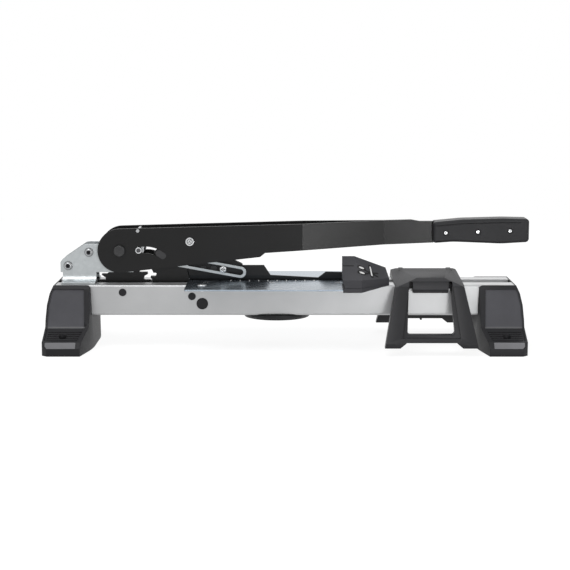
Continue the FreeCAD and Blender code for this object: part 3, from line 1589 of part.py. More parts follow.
def build_disc():
    """Round disc under the beam, screwed to its lips."""
    top = s.beam_top - s.beam_height
    low = top - s.disc_thickness
    tools = []
    screws = []
    for end in (-1, 1):
        for side in (-1, 1):
            spot = (s.disc_along + s.disc_screw_along * end, lip_middle() * side)
            tools.append(cylinder(spot + (low,), s.disc_screw_radius, s.disc_thickness))
            tools.append(cylinder(spot + (low,), s.disc_screw_head_radius, s.disc_screw_head))
            head = cylinder(spot + (low,), s.disc_screw_head_radius, s.disc_screw_head)
            shank = cylinder(spot + (low + s.disc_screw_head,), s.disc_screw_radius,
                             s.disc_thickness - s.disc_screw_head + s.beam_sheet
                             + s.disc_screw_tail)
            screws.append(fuse([head, shank]))
    middle = (s.disc_along, ZERO)
    edge = cone(middle + (low,), s.disc_radius - s.disc_edge_slope, s.disc_radius,
                s.disc_edge_height)
    rim = cylinder(middle + (low + s.disc_edge_height,), s.disc_radius,
                   s.disc_thickness - s.disc_edge_height)
    node("carry_disc", cut(fuse([edge, rim]), tools))
    node("disc_screws", group(screws))


def build_grip():
    """Two moulded scales on the tang, held by three screws."""
    face = [
        (s.grip_start, above(s.grip_start_low_rise), s.grip_start_round),
        (s.grip_waist_along, above(s.grip_waist_low_rise), s.grip_flow),
        (s.grip_belly_along, above(s.grip_belly_low_rise), s.grip_flow),
        (s.grip_end, above(s.grip_end_low_rise), s.grip_end_round),
        (s.grip_end, above(s.grip_end_top_rise), s.grip_end_round),
        (s.grip_crown_along, above(s.grip_crown_top_rise), s.grip_flow),
        (s.grip_swell_along, above(s.grip_swell_top_rise), s.grip_flow),
        (s.grip_start, above(s.grip_start_top_rise), s.grip_start_round),
    ]
    holes = [(spot, s.grip_screw_radius) for spot in grip_screw_places()]
    outer = s.grip_half_width
    body = plate("XZ", -outer, ZERO, [face] + holes)
    gap = s.seat_gap
    bed = [
        (s.grip_start - PAST, above(s.lever_neck_low_rise) - gap),
        (s.lever_neck_end, above(s.lever_neck_low_rise) - gap),
        (s.tang_start, above(s.tang_low_rise) - gap),
        (s.tang_end + gap, above(s.tang_low_rise) - gap),
        (s.tang_end + gap, above(s.tang_top_rise) + gap),
        (s.tang_start, above(s.tang_top_rise) + gap),
        (s.lever_neck_end, above(s.lever_neck_top_rise) + gap),
        (s.grip_start - PAST, above(s.lever_neck_top_rise) + gap),
    ]
    pocket(body, "XZ", -s.lever_sheet, ZERO, [bed])
    recesses = [(spot, s.grip_screw_recess_radius) for spot in grip_screw_places()]
    pocket(body, "XZ", -outer, -outer + s.grip_screw_recess, recesses)
    doc.recompute()
    rim = []
    widest_hole = s.grip_screw_recess_radius.value * 2 + 0.1
    for index, edge in enumerate(body.Shape.Edges, start=1):
        bounds = edge.BoundBox
        on_face = abs(bounds.YMin + outer.value) < 0.01 and abs(bounds.YMax + outer.value) < 0.01
        is_hole = edge.isClosed() and bounds.XLength < widest_hole
        if on_face and not is_hole:
            rim.append("Edge%d" % index)
    carved = body.Tip
    rounding = body.newObject("PartDesign::Fillet", "Fillet")
    rounding.Base = (carved, rim)
    bind(rounding, "Radius", s.grip_edge_round)
    body.Tip = rounding
    doc.recompute()
    drop = s.grip_line_drop
    line = [
        (s.grip_start - PAST, above(s.grip_start_top_rise) - drop),
        (s.grip_swell_along, above(s.grip_swell_top_rise) - drop),
        (s.grip_crown_along, above(s.grip_crown_top_rise) - drop),
        (s.grip_line_end, above(s.grip_crown_top_rise) - drop),
    ]
    wide = s.grip_line_width
    band = line + [(x, z + wide) for x, z in reversed(line)]
    pocket(body, "XZ", -outer, -outer + s.grip_line_depth, [band])
    front = node("grip_front", body)
    node("grip_rear", mirrored(front, ALONG_Y))
    screws = []
    floor = outer - s.grip_screw_recess
    for along, height in grip_screw_places():
        shank = cylinder((along, -floor, height), s.grip_screw_radius, floor * 2, "Y")
        head = cylinder((along, -floor - s.grip_screw_head, height),
                        s.grip_screw_head_radius, s.grip_screw_head, "Y")
        tail = cylinder((along, floor, height), s.grip_screw_head_radius,
                        s.grip_screw_head, "Y")
        screws.append(fuse([head, shank, tail]))
    node("grip_screws", group(screws))


def check_and_write():
    doc.recompute()
    for item in doc.Objects:
        if "Invalid" in item.State or "Error" in item.State:
            raise ValueError("%s (%s) did not build" % (item.Label, item.Name))
    for name, item in nodes.items():
        if item.Shape.isNull() or not item.Shape.isValid():
            raise ValueError("%s has no valid shape" % name)
    os.makedirs("parts", exist_ok=True)
    for name, item in nodes.items():
        item.Shape.exportStep("parts/%s.step" % name)
        print("%-20s solids %d volume %.0f" % (name, len(item.Shape.Solids), item.Shape.Volume))


build_beam()
build_plugs()
build_feet()
build_foot_hardware()
build_bracket()
build_pivot()
build_lever()
build_latch()
build_stop_blocks()
build_blade_pivot()
build_blade()
build_links()
build_catches()
build_anvil()
build_table()
build_fence()
build_trestle()
build_disc()
build_grip()
check_and_write()
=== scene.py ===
"""Looks of the laminate cutter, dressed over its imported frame."""
import json
import math

import bmesh
import bpy
from mathutils import Matrix, Vector


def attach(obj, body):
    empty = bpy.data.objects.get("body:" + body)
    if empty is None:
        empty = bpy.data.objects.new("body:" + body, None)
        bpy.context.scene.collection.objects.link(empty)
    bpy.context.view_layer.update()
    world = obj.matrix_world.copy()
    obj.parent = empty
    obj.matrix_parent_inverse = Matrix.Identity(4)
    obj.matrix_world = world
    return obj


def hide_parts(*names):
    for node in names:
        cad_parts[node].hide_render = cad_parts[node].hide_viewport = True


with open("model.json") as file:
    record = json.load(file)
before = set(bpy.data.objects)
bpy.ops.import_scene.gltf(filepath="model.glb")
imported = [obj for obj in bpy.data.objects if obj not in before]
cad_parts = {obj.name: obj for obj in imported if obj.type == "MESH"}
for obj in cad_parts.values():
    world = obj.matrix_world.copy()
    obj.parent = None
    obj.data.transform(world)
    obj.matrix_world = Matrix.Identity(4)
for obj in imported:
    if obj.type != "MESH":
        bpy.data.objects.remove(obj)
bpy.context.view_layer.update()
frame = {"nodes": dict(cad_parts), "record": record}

# A millimetre, and the reach of cuts and of merges, in metres
MM = 0.001
SNAP = 0.00001
MERGE = 0.000005


# Finishes


class Finish:
    """A material built from nodes that read Object coordinates."""

    def __init__(self, name, **sockets):
        self.material = bpy.data.materials.new(name)
        self.material.use_nodes = True
        self.nodes = self.material.node_tree.nodes
        self.links = self.material.node_tree.links
        self.shader = self.nodes["Principled BSDF"]
        self.place = self.nodes.new("ShaderNodeTexCoord").outputs["Object"]
        for socket, value in sockets.items():
            self.shader.inputs[socket.replace("_", " ")].default_value = value

    def add(self, kind, sources=(), **settings):
        made = self.nodes.new(kind)
        for key, value in settings.items():
            setattr(made, key, value)
        for socket, source in sources:
            if isinstance(source, bpy.types.NodeSocket):
                self.links.new(source, made.inputs[socket])
            else:
                made.inputs[socket].default_value = source
        return made

    def stretched(self, scale):
        """Object coordinates scaled apart along the three axes."""
        return self.add("ShaderNodeMapping", [("Vector", self.place), ("Scale", scale)]).outputs[0]

    def grain(self, scale, detail=3.0, stretch=None, roughness=0.5):
        vector = self.stretched(stretch) if stretch else self.place
        sources = [("Vector", vector), ("Scale", scale), ("Detail", detail),
                   ("Roughness", roughness)]
        return self.add("ShaderNodeTexNoise", sources).outputs["Fac"]

    def cells(self, scale, randomness=1.0):
        sources = [("Vector", self.place), ("Scale", scale), ("Randomness", randomness)]
        return self.add("ShaderNodeTexVoronoi", sources).outputs["Color"]

    def spread(self, source, low, high, start=0.3, end=0.7):
        """A number between low and high that follows a pattern."""
        sources = [("Value", source), ("From Min", start), ("From Max", end),
                   ("To Min", low), ("To Max", high)]
        return self.add("ShaderNodeMapRange", sources).outputs[0]

    def tint(self, source, dark, light, start=0.3, end=0.7):
        ramp = self.add("ShaderNodeValToRGB", [("Fac", source)])
        ends = ramp.color_ramp.elements
        ends[0].position, ends[1].position = start, end
        ends[0].color, ends[1].color = (*dark, 1), (*light, 1)
        return ramp.outputs["Color"]

    def with_painted_shade(self, colour, reach, darkest):
        """A colour darkened by ambient occlusion in corners and recesses: painted shade where
        light does not reach.
        """
        corner = self.add("ShaderNodeAmbientOcclusion", [("Distance", reach)], samples=8)
        depth = self.spread(corner.outputs["AO"], darkest, 1.0, start=0.25, end=0.9)
        sources = [("Vector", colour), ("Scale", depth)]
        return self.add("ShaderNodeVectorMath", sources, operation="SCALE").outputs[0]

    def wire(self, socket, source):
        self.links.new(source, self.shader.inputs[socket])

    def relief(self, height, strength, depth, edge=0.0):
        """Bump from a pattern, over edges that the light sees as slightly rounded."""
        sources = [("Height", height), ("Strength", strength), ("Distance", depth)]
        bump = self.add("ShaderNodeBump", sources)
        if edge:
            eased = self.add("ShaderNodeBevel", [("Radius", edge)], samples=4)
            self.links.new(eased.outputs[0], bump.inputs["Normal"])
        self.links.new(bump.outputs[0], self.shader.inputs["Normal"])


def silver_lacquer():
    """Satin silver coat of the beam with a fine metallic fleck."""
    f = Finish("satin_silver", Metallic=0.75, IOR=1.5, Coat_Weight=0.12, Coat_Roughness=0.35)
    fleck = f.grain(2600, detail=2)
    cloud = f.grain(14, detail=4)
    f.wire("Base Color", f.tint(cloud, (0.42, 0.425, 0.43), (0.48, 0.485, 0.49)))
    f.wire("Roughness", f.spread(fleck, 0.34, 0.50))
    f.relief(fleck, strength=0.12, depth=0.0001, edge=0.0006)
    return f.material


def galvanised():
    """Zinc sheet with its crystal flowers and faint rolling lines."""
    f = Finish("galvanised_sheet", Metallic=0.92, IOR=1.5)
    flower = f.add("ShaderNodeSeparateColor", [("Color", f.cells(260))]).outputs[0]
    zinc = f.tint(flower, (0.43, 0.455, 0.465), (0.48, 0.505, 0.515), start=0.0, end=1.0)
    # Painted shade: the zinc is darkened in its corners and recesses.
    f.wire("Base Color", f.with_painted_shade(zinc, reach=0.005, darkest=0.45))
    f.wire("Roughness", f.spread(flower, 0.34, 0.42, start=0.0, end=1.0))
    lines = f.grain(900, stretch=(0.25, 1, 1))
    f.relief(lines, strength=0.15, depth=0.0001, edge=0.0004)
    return f.material


def polished_plate():
    """Bright rolled table plate, nearly a mirror, with hairlines along its length."""
    f = Finish("polished_plate", Metallic=1.0, IOR=1.5)
    hair = f.grain(1500, detail=4, stretch=(0.03, 1, 1))
    f.wire("Base Color", f.tint(f.grain(9), (0.31, 0.36, 0.42), (0.36, 0.41, 0.46)))
    f.wire("Roughness", f.spread(hair, 0.20, 0.30))
    f.relief(hair, strength=0.10, depth=0.00004, edge=0.0004)
    return f.material


def black_coat(name, level, rough):
    """Powder coat over steel, with the faint orange peel that such coats have."""
    f = Finish(name, IOR=1.5, Specular_IOR_Level=0.26)
    peel = f.grain(900, detail=2)
    cloud = f.grain(22, detail=3)
    dark = (level * 0.85,) * 3
    light = (level * 1.15, level * 1.15, level * 1.2)
    f.wire("Base Color", f.tint(cloud, dark, light))
    f.wire("Roughness", f.spread(peel, rough - 0.05, rough + 0.06))
    f.relief(peel, strength=0.08, depth=0.0001, edge=0.0005)
    return f.material


def plated(name, colour, rough):
    """Zinc or chrome plate on screws and pins."""
    f = Finish(name, Metallic=1.0, IOR=1.5)
    wear = f.grain(700, detail=3)
    dark = tuple(c * 0.9 for c in colour)
    # Painted shade: the plating is darkened in corners, sockets and grooves.
    f.wire("Base Color", f.with_painted_shade(f.tint(wear, dark, colour), reach=0.0022, darkest=0.06))
    f.wire("Roughness", f.spread(wear, rough - 0.05, rough + 0.07))
    f.relief(wear, strength=0.08, depth=0.00005, edge=0.0003)
    return f.material


def moulded(name, colour, rough, grain_scale=1500, pitting=0.35):
    """Moulded plastic with a spark-eroded grain and a little flow marking."""
    f = Finish(name, IOR=1.48, Specular_IOR_Level=0.22)
    pits = f.grain(grain_scale, detail=3, roughness=0.6)
    flow = f.grain(18, detail=3)
    dark = tuple(c * 0.88 for c in colour)
    light = tuple(c * 1.14 for c in colour)
    # Painted shade: the plastic is darkened in its corners and recesses.
    f.wire("Base Color", f.with_painted_shade(f.tint(flow, dark, light), reach=0.004, darkest=0.25))
    f.wire("Roughness", f.spread(pits, rough - 0.07, rough + 0.08))
    f.relief(pits, strength=pitting, depth=0.00018, edge=0.0008)
    return f.material


FINISHES = {
    "beam_steel": silver_lacquer(),
    "zinc_sheet": galvanised(),
    "table_steel": polished_plate(),
    "lever_black": black_coat("lever_coat", 0.006, 0.33),
    "black_steel": black_coat("blade_coat", 0.014, 0.36),
    "black_bolt": black_coat("bolt_oxide", 0.044, 0.42),
    "zinc_screw": plated("zinc_plate", (0.47, 0.48, 0.49), 0.28),
    "bright_screw": plated("bright_plate", (0.62, 0.63, 0.64), 0.22),
    "foot_plastic": moulded("foot_moulding", (0.016, 0.016, 0.018), 0.50, pitting=0.15),
    "trestle_plastic": moulded("trestle_moulding", (0.019, 0.019, 0.021), 0.40, pitting=0.15),
    "fence_plastic": moulded("fence_moulding", (0.048, 0.048, 0.053), 0.62),
    "grip_plastic": moulded("grip_moulding", (0.020, 0.020, 0.022), 0.44),
    "dark_plastic": moulded("plug_moulding", (0.020, 0.020, 0.022), 0.45),
    "grey_plastic": moulded("slider_moulding", (0.05, 0.05, 0.052), 0.50),
    "bar_plastic": moulded("cutting_bar_moulding", (0.020, 0.020, 0.022), 0.48),
    "pad_rubber": moulded("pad_rubber_grain", (0.018, 0.018, 0.018), 0.75),
}

# Sunk field of the foot: its grain is real, and its lighter colour is painted light where the
# field faces up.
FIELD_GRAIN_PAINTED_LIGHT = moulded("foot_field_painted_light", (0.080, 0.080, 0.089), 0.60, grain_scale=1100, pitting=0.5)
# Painted highlight: the light line along the ledge above the tread.
LEDGE_PAINTED_HIGHLIGHT = moulded("foot_ledge_painted_highlight", (0.11, 0.11, 0.115), 0.45)
# Painted highlight: the toe's sloping strip, bright where it faces up and forward to the lamps.
STRIP_PAINTED_HIGHLIGHT = moulded("foot_strip_painted_highlight", (0.19, 0.19, 0.20), 0.55)
# Cap of the trestle: its grain is real, and its lighter colour is painted light on its top.
CAP_GRAIN_PAINTED_LIGHT = moulded("trestle_cap_painted_light", (0.042, 0.042, 0.045), 0.58, grain_scale=1100, pitting=0.5)
MARK_BLACK = moulded("mark_black", (0.003, 0.003, 0.003), 0.60, grain_scale=2500, pitting=0.1)
# White for the table's ticks; on the fence's shears it is a painted highlight.
WHITE_MARK_AND_HIGHLIGHT = moulded("white_mark_and_painted_highlight", (0.80, 0.80, 0.80), 0.40, grain_scale=2500, pitting=0.1)
# Dark finish for the rims, sockets and grooves of screws and rivets: painted shade.
RING_PAINTED_SHADE = plated("ring_shade", (0.05, 0.05, 0.055), 0.45)
# Dark finish for the dish in the latch pin's heads: painted shade.
PIN_DISH_SHADE = plated("pin_dish_shade", (0.10, 0.10, 0.105), 0.40)
RIVET_PAIR = (FINISHES["bright_screw"], RING_PAINTED_SHADE)

slot_of = {row["node"]: row["material_slot"] for row in frame["record"]["subparts"]}
for name, piece in frame["nodes"].items():
    piece.data.materials.clear()
    piece.data.materials.append(FINISHES[slot_of[name]])


# Workshop: the small steps that every hand-made piece shares; sizes are in millimetres


def alone(piece):
    """Select this piece and nothing else."""
    bpy.ops.object.select_all(action="DESELECT")
    piece.select_set(True)
    bpy.context.view_layer.objects.active = piece


def settle(piece, name):
    """Name a piece and put its place, turn and size in its mesh."""
    piece.name = name
    alone(piece)
    bpy.ops.object.transform_apply(location=True, rotation=True, scale=True)
    return piece


def block(name, low, high, lean=0.0):
    """A box between two corners, turned about its own middle by lean degrees about X."""
    bpy.ops.object.select_all(action="DESELECT")
    centre = (Vector(low) + Vector(high)) / 2 * MM
    turn = (math.radians(lean), 0, 0)
    bpy.ops.mesh.primitive_cube_add(size=1, location=centre, rotation=turn)
    piece = bpy.context.object
    piece.scale = (Vector(high) - Vector(low)) * MM
    return settle(piece, name)


def rod(name, start, radius, length, axis="Z", sides=48):
    """A round or many-sided bar that runs from start along an axis."""
    bpy.ops.object.select_all(action="DESELECT")
    along = {"X": Vector((1, 0, 0)), "Y": Vector((0, 1, 0)), "Z": Vector((0, 0, 1))}[axis]
    turn = along.to_track_quat("Z", "Y").to_euler()
    centre = (Vector(start) + along * length / 2) * MM
    bpy.ops.mesh.primitive_cylinder_add(
        vertices=sides, radius=radius * MM, depth=length * MM, location=centre, rotation=turn)
    return settle(bpy.context.object, name)


class Shaping:
    """Edit mode on one piece, with its faces and edges picked by place and direction."""

    def __init__(self, piece):
        self.piece = piece

    def __enter__(self):
        alone(self.piece)
        bpy.ops.object.mode_set(mode="EDIT")
        return self

    def __exit__(self, *_):
        bpy.ops.object.mode_set(mode="OBJECT")

    def choose(self, kind, test):
        bpy.ops.mesh.select_mode(type=kind)
        bpy.ops.mesh.select_all(action="DESELECT")
        mesh = bmesh.from_edit_mesh(self.piece.data)
        mesh.normal_update()
        found = [item for item in (mesh.faces if kind == "FACE" else mesh.edges) if test(item)]
        for item in found:
            item.select = True
        mesh.select_flush_mode()
        bmesh.update_edit_mesh(self.piece.data)
        if not found:
            raise ValueError("nothing picked on " + self.piece.name)

    def faces(self, test):
        """Pick faces; test gets the face's middle in millimetres and its direction."""
        self.choose("FACE", lambda f: test(f.calc_center_median() / MM, f.normal))

    def edges(self, test):
        """Pick edges; test gets the two ends in millimetres."""
        self.choose("EDGE", lambda e: test(e.verts[0].co / MM, e.verts[1].co / MM))

    def everything(self):
        bpy.ops.mesh.select_all(action="SELECT")

    def extrude(self, move):
        bpy.ops.mesh.extrude_region_move(TRANSFORM_OT_translate={"value": Vector(move) * MM})

    def sink(self, depth):
        """Push the picked faces in along their own direction."""
        bpy.ops.mesh.extrude_region_shrink_fatten(
            TRANSFORM_OT_shrink_fatten={"value": -depth * MM, "use_even_offset": True})

    def shift(self, move):
        bpy.ops.transform.translate(value=Vector(move) * MM)

    def resize(self, factors, centre):
        bpy.ops.transform.resize(value=factors, center_override=Vector(centre) * MM)

    def inset(self, width, depth=0.0):
        bpy.ops.mesh.inset(thickness=width * MM, depth=depth * MM)

    def bevel(self, width, steps):
        bpy.ops.mesh.bevel(offset=width * MM, segments=steps, affect="EDGES")

    def slice(self, point, normal, remove=False):
        """Cut what is picked by a plane; remove takes off the side the normal points to."""
        bpy.ops.mesh.bisect(plane_co=Vector(point) * MM, plane_no=normal, use_fill=remove,
                            clear_outer=remove, threshold=SNAP)

    def outward(self):
        """Merge doubled points and turn every face outward."""
        self.everything()
        bpy.ops.mesh.remove_doubles(threshold=MERGE)
        bpy.ops.mesh.normals_make_consistent(inside=False)


def between(points, at):
    """Value at one position on straight lines through a list of (position, value)."""
    for (a, first), (b, second) in zip(points, points[1:]):
        if at <= b:
            return first + (second - first) * (at - a) / (b - a)
    return points[-1][1]


def raised(name, levels):
    """A solid drawn up from a plate through levels of (height, x range, y range)."""
    bpy.ops.object.select_all(action="DESELECT")
    last, across, deep = levels[0]
    centre = Vector((sum(across) / 2, sum(deep) / 2, last))
    bpy.ops.mesh.primitive_plane_add(size=1, location=centre * MM)
    piece = bpy.context.object
    size = Vector((across[1] - across[0], deep[1] - deep[0], 1))
    piece.scale = (size.x * MM, size.y * MM, 1)
    settle(piece, name)
    with Shaping(piece) as work:
        work.everything()
        for height, across, deep in levels[1:]:
            work.extrude((0, 0, height - last))
            wanted = Vector((across[1] - across[0], deep[1] - deep[0], 1))
            centre.z = height
            work.resize((wanted.x / size.x, wanted.y / size.y, 1), centre)
            target = Vector((sum(across) / 2, sum(deep) / 2, height))
            work.shift(target - centre)
            last, size, centre = height, wanted, target
        work.outward()
    return piece


def with_modifier(piece, kind, **settings):
    """Add a modifier to a piece and apply it."""
    alone(piece)
    made = piece.modifiers.new(kind.lower(), kind)
    for key, value in settings.items():
        setattr(made, key, value)
    bpy.ops.object.modifier_apply(modifier=made.name)


def carve(piece, *tools):
    """Cut the tools out of a piece and put them away."""
    for tool in tools:
        with_modifier(piece, "BOOLEAN", operation="DIFFERENCE", solver="EXACT", object=tool)
        bpy.data.objects.remove(tool)


def grow(piece, *others):
    """Join solids to a piece as one closed skin."""
    for other in others:
        with_modifier(piece, "BOOLEAN", operation="UNION", solver="EXACT", object=other)
        bpy.data.objects.remove(other)


def gather(name, pieces):
    """Several loose pieces as one object."""
    alone(pieces[0])
    for piece in pieces:
        piece.select_set(True)
    bpy.ops.object.join()
    return settle(bpy.context.object, name)


def twin(piece, name, move=(0, 0, 0), flip=(1, 1, 1), turn=(0, 0, 0)):
    """A copy with its own mesh, moved, turned or mirrored."""
    alone(piece)
    bpy.ops.object.duplicate()
    copy = bpy.context.object
    copy.location = Vector(move) * MM
    copy.scale = flip
    copy.rotation_euler = [math.radians(angle) for angle in turn]
    settle(copy, name)
    if flip != (1, 1, 1):
        with Shaping(copy) as work:
            work.outward()
    return copy


def ease(piece, width, steps=2, angle=30.0):
    """Round the edges sharper than an angle."""
    with_modifier(piece, "BEVEL", width=width * MM, segments=steps, limit_method="ANGLE",
                  angle_limit=math.radians(angle), miter_outer="MITER_ARC")


def smooth(piece, angle=35.0):
    alone(piece)
    bpy.ops.object.shade_smooth_by_angle(angle=math.radians(angle))


def dress(piece, body, slot, finishes=(), nodes=()):
    """Give a piece its finishes and the body it moves with, and hide the nodes it stands for."""
    wanted = finishes or [FINISHES[slot]]
    if len(piece.data.materials) != len(wanted):
        piece.data.materials.clear()
        for finish in wanted:
            piece.data.materials.append(finish)
    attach(piece, body)
    if nodes:
        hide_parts(*nodes)


def coat(piece, finishes, places):
    """Materials in order; places maps a slot number to a test for its faces."""
    for finish in finishes:
        piece.data.materials.append(finish)
    for face in piece.data.polygons:
        for index, test in places.items():
            if test(face.center / MM, face.normal):
                face.material_index = index


# Feet; the left one is built and the right one mirrored

FOOT_END_X, FOOT_END_Y = -322, 105
FOOT_TOP = 86
FOOT_INNER_X, FOOT_INNER_LEAN = -260, 3.5
FOOT_CORNER = 7.0
FOOT_INNER_ROUND = 5.5
SKIRT_TOP, TREAD_START = 10.5, 18
TREAD_LOW, TREAD_HIGH = 19.2, 32.2
TREAD_FRONT, TREAD_BACK = 97.5, 66.4
STEEP_LOW, STEEP_HIGH = 33.8, 81.5
FOOT_OUTER = [
    (0, FOOT_END_X), (42, FOOT_END_X), (61, -320.8), (76, -317.6), (FOOT_TOP, -313.2)]
FOOT_INNER = [(0, FOOT_INNER_X), (FOOT_TOP, FOOT_INNER_X - FOOT_INNER_LEAN)]
FOOT_DEPTH = [
    (0, FOOT_END_Y), (SKIRT_TOP, FOOT_END_Y), (TREAD_START, TREAD_FRONT),
    (TREAD_HIGH, TREAD_BACK), (STEEP_LOW, 65), (STEEP_HIGH, 46.9), (FOOT_TOP, 43.5)]
TREAD_RISE = [(TREAD_BACK, TREAD_HIGH), (TREAD_FRONT, TREAD_START)]
FIELD_LEVELS = [TREAD_LOW, TREAD_HIGH, STEEP_LOW, 42, 61, 76, STEEP_HIGH]
FOOT_LEVELS = [0, SKIRT_TOP, TREAD_START, *FIELD_LEVELS, FOOT_TOP]

FIELD_DEPTH = 1.6
BORDER_OUTER, BORDER_INNER = 2.6, 8.2
TREAD_BORDER_X, TREAD_BORDER_Y = -268.4, 65
TREAD_BORDER_SHIFT, TREAD_BORDER_RUN = 7.6, 32.5
STRIP_LOW, STRIP_HIGH = -317.9, -277.0
STRIP_DEPTH = 0.5

TOE_TURN_Y = 47.5
TOE_RUN, TOE_SHIFT = 57.5, 11
TOE_ROUND = 22.0
TOE_CUTS = 6

SEAT_LOW, SEAT_HIGH = (-311.3, -40.3, 44.5), (-200, 40.3, 120)
CELL_X, CELL_TOP = (-307.2, -273), 39.5
CELL_PITCH, CELL_HALF, CELL_COUNT = 27.0, 11.5, 4
FIXING_X, FIXING_Y = -296, 83
FIXING_SEAT, FIXING_SEAT_Z, FIXING_HOLE, FIXING_LENGTH = 5.3, 12, 2.75, 30
PAD_X, PAD_Y, PAD_DEPTH = (-309.1, -271.1), (55, 75), 3
RIB_COUNT, RIB_FIRST, RIB_PITCH = 5, 74.3, 4.4
RIB_START, RIB_END_GAP = -316.6, 1.2
RIB_HALF, RIB_BELOW, RIB_ABOVE = 0.8, 0.8, 0.9
RIB_LEAN = 24.52
FIELD_DROP = FIELD_DEPTH / math.cos(math.radians(24.5))
BELOW = -5

FACING = 0.25
SLOPING = 0.6
NEAR = 0.1


def field_inner(z, depth):
    """Inner border line of the sunk field, on the steep face and on the tread."""
    if z >= STEEP_LOW:
        return between(FOOT_INNER, z) - BORDER_INNER
    return TREAD_BORDER_X - (depth - TREAD_BORDER_Y) * TREAD_BORDER_SHIFT / TREAD_BORDER_RUN


def field_outer(z):
    return between(FOOT_OUTER, z) + BORDER_OUTER


def in_field(spot, direction, side):
    inner = field_inner(spot.z, abs(spot.y))
    facing = direction.y * side > FACING and spot.y * side > 0
    return facing and TREAD_LOW < spot.z < STEEP_HIGH and field_outer(spot.z) < spot.x < inner


def sunk(spot, direction, low, high):
    """Was this face part of a sunk field, between two heights, before it was sunk?"""
    before = spot + direction * FIELD_DEPTH
    return low < before.z < high and any(in_field(before, direction, side) for side in (-1, 1))


def in_skirt_slope(spot, direction, low=SKIRT_TOP):
    return (low < spot.z < TREAD_START and abs(direction.y) > SLOPING
            and direction.z > SLOPING)


def in_strip(spot, direction, low=SKIRT_TOP):
    return in_skirt_slope(spot, direction, low) and STRIP_LOW < spot.x < STRIP_HIGH


def score(work, low, high, first, second):
    """Cut the picked faces along a line that changes its X between two heights."""
    work.slice((first, 0, low), Vector((high - low, 0, first - second)).normalized())


def cut_field(work, side):
    """Score the border lines of one end's sunk field and push the field in."""
    for low, high in zip(FIELD_LEVELS, FIELD_LEVELS[1:]):
        def band(spot, direction):
            return low < spot.z < high and direction.y * side > FACING

        work.faces(band)
        score(work, low, high, field_outer(low), field_outer(high))
        work.faces(band)
        if low >= STEEP_LOW:
            score(work, low, high, field_inner(low, 0), field_inner(high, 0))
        else:
            work.slice((TREAD_BORDER_X, TREAD_BORDER_Y * side, low),
                       Vector((TREAD_BORDER_RUN, TREAD_BORDER_SHIFT * side, 0)).normalized())
    work.faces(lambda spot, direction: in_field(spot, direction, side))
    work.sink(FIELD_DEPTH)


def taper_toe(work, side):
    """Cut one toe's taper and round its turn from the foot's inner side, cut by cut."""
    turn = Vector((FOOT_INNER_X, TOE_TURN_Y * side, 0))
    flat = Vector((FOOT_TOP, 0, FOOT_INNER_LEAN)).normalized()
    taper = Vector((TOE_RUN, TOE_SHIFT * side, 0)).normalized()
    middle = (flat + taper).normalized()
    half = flat.angle(taper) / 2
    radius = TOE_ROUND / math.tan(half)
    centre = turn - middle * radius / math.cos(half)
    work.everything()
    work.slice(turn, taper, True)
    for step in range(1, TOE_CUTS):
        direction = flat.slerp(taper, step / TOE_CUTS)
        work.everything()
        work.slice(centre + direction * radius, direction, True)


def foot_body():
    """The foot's outside: tapered toes, sunk fields, sunk toe strips that later carry a painted
    highlight, and rounded inner top.
    """
    levels = []
    for z in FOOT_LEVELS:
        deep = between(FOOT_DEPTH, z)
        levels.append((z, (between(FOOT_OUTER, z), between(FOOT_INNER, z)), (-deep, deep)))
    foot = raised("foot_left_moulding", levels)
    with Shaping(foot) as work:
        for side in (-1, 1):
            taper_toe(work, side)
            work.everything()
            work.slice((FOOT_END_X, (FOOT_END_Y - FOOT_CORNER) * side, 0),
                       Vector((-1, side, 0)).normalized(), True)
        for side in (-1, 1):
            cut_field(work, side)
        work.outward()
        for limit in (STRIP_LOW, STRIP_HIGH):
            work.faces(in_skirt_slope)
            work.slice((limit, 0, 0), (1, 0, 0))
        work.faces(in_strip)
        work.sink(STRIP_DEPTH)
        inner = FOOT_INNER_X - FOOT_INNER_LEAN - 0.5
        work.edges(lambda a, b: min(a.z, b.z) > FOOT_TOP - NEAR and min(a.x, b.x) > inner)
        work.bevel(FOOT_INNER_ROUND, 5)
    ease(foot, 1.1, 3)
    return foot


def foot_tools():
    """What is cut out of a foot: the beam's seat, cells, fixing holes, pad seats, rib gaps."""
    tools = [block("seat", SEAT_LOW, SEAT_HIGH)]
    for step in range(CELL_COUNT):
        middle = CELL_PITCH * (step - (CELL_COUNT - 1) / 2)
        tools.append(block("cell", (CELL_X[0], middle - CELL_HALF, BELOW),
                           (CELL_X[1], middle + CELL_HALF, CELL_TOP)))
    for side in (-1, 1):
        fixing = (FIXING_X, FIXING_Y * side)
        tools.append(rod("fixing_seat", (*fixing, FIXING_SEAT_Z), FIXING_SEAT, FIXING_LENGTH))
        tools.append(rod("fixing_hole", (*fixing, BELOW), FIXING_HOLE, FIXING_LENGTH))
        low, high = sorted(y * side for y in PAD_Y)
        tools.append(block("pad_seat", (PAD_X[0], low, BELOW), (PAD_X[1], high, PAD_DEPTH)))
        for rib in range(RIB_COUNT):
            deep = RIB_FIRST + RIB_PITCH * rib
            floor = between(TREAD_RISE, deep) - FIELD_DROP
            last = field_inner(TREAD_LOW, deep) - RIB_END_GAP
            tools.append(block("rib_cut", (RIB_START, deep * side - RIB_HALF, floor - RIB_BELOW),
                               (last, deep * side + RIB_HALF, floor + RIB_ABOVE),
                               RIB_LEAN * -side))
    return tools


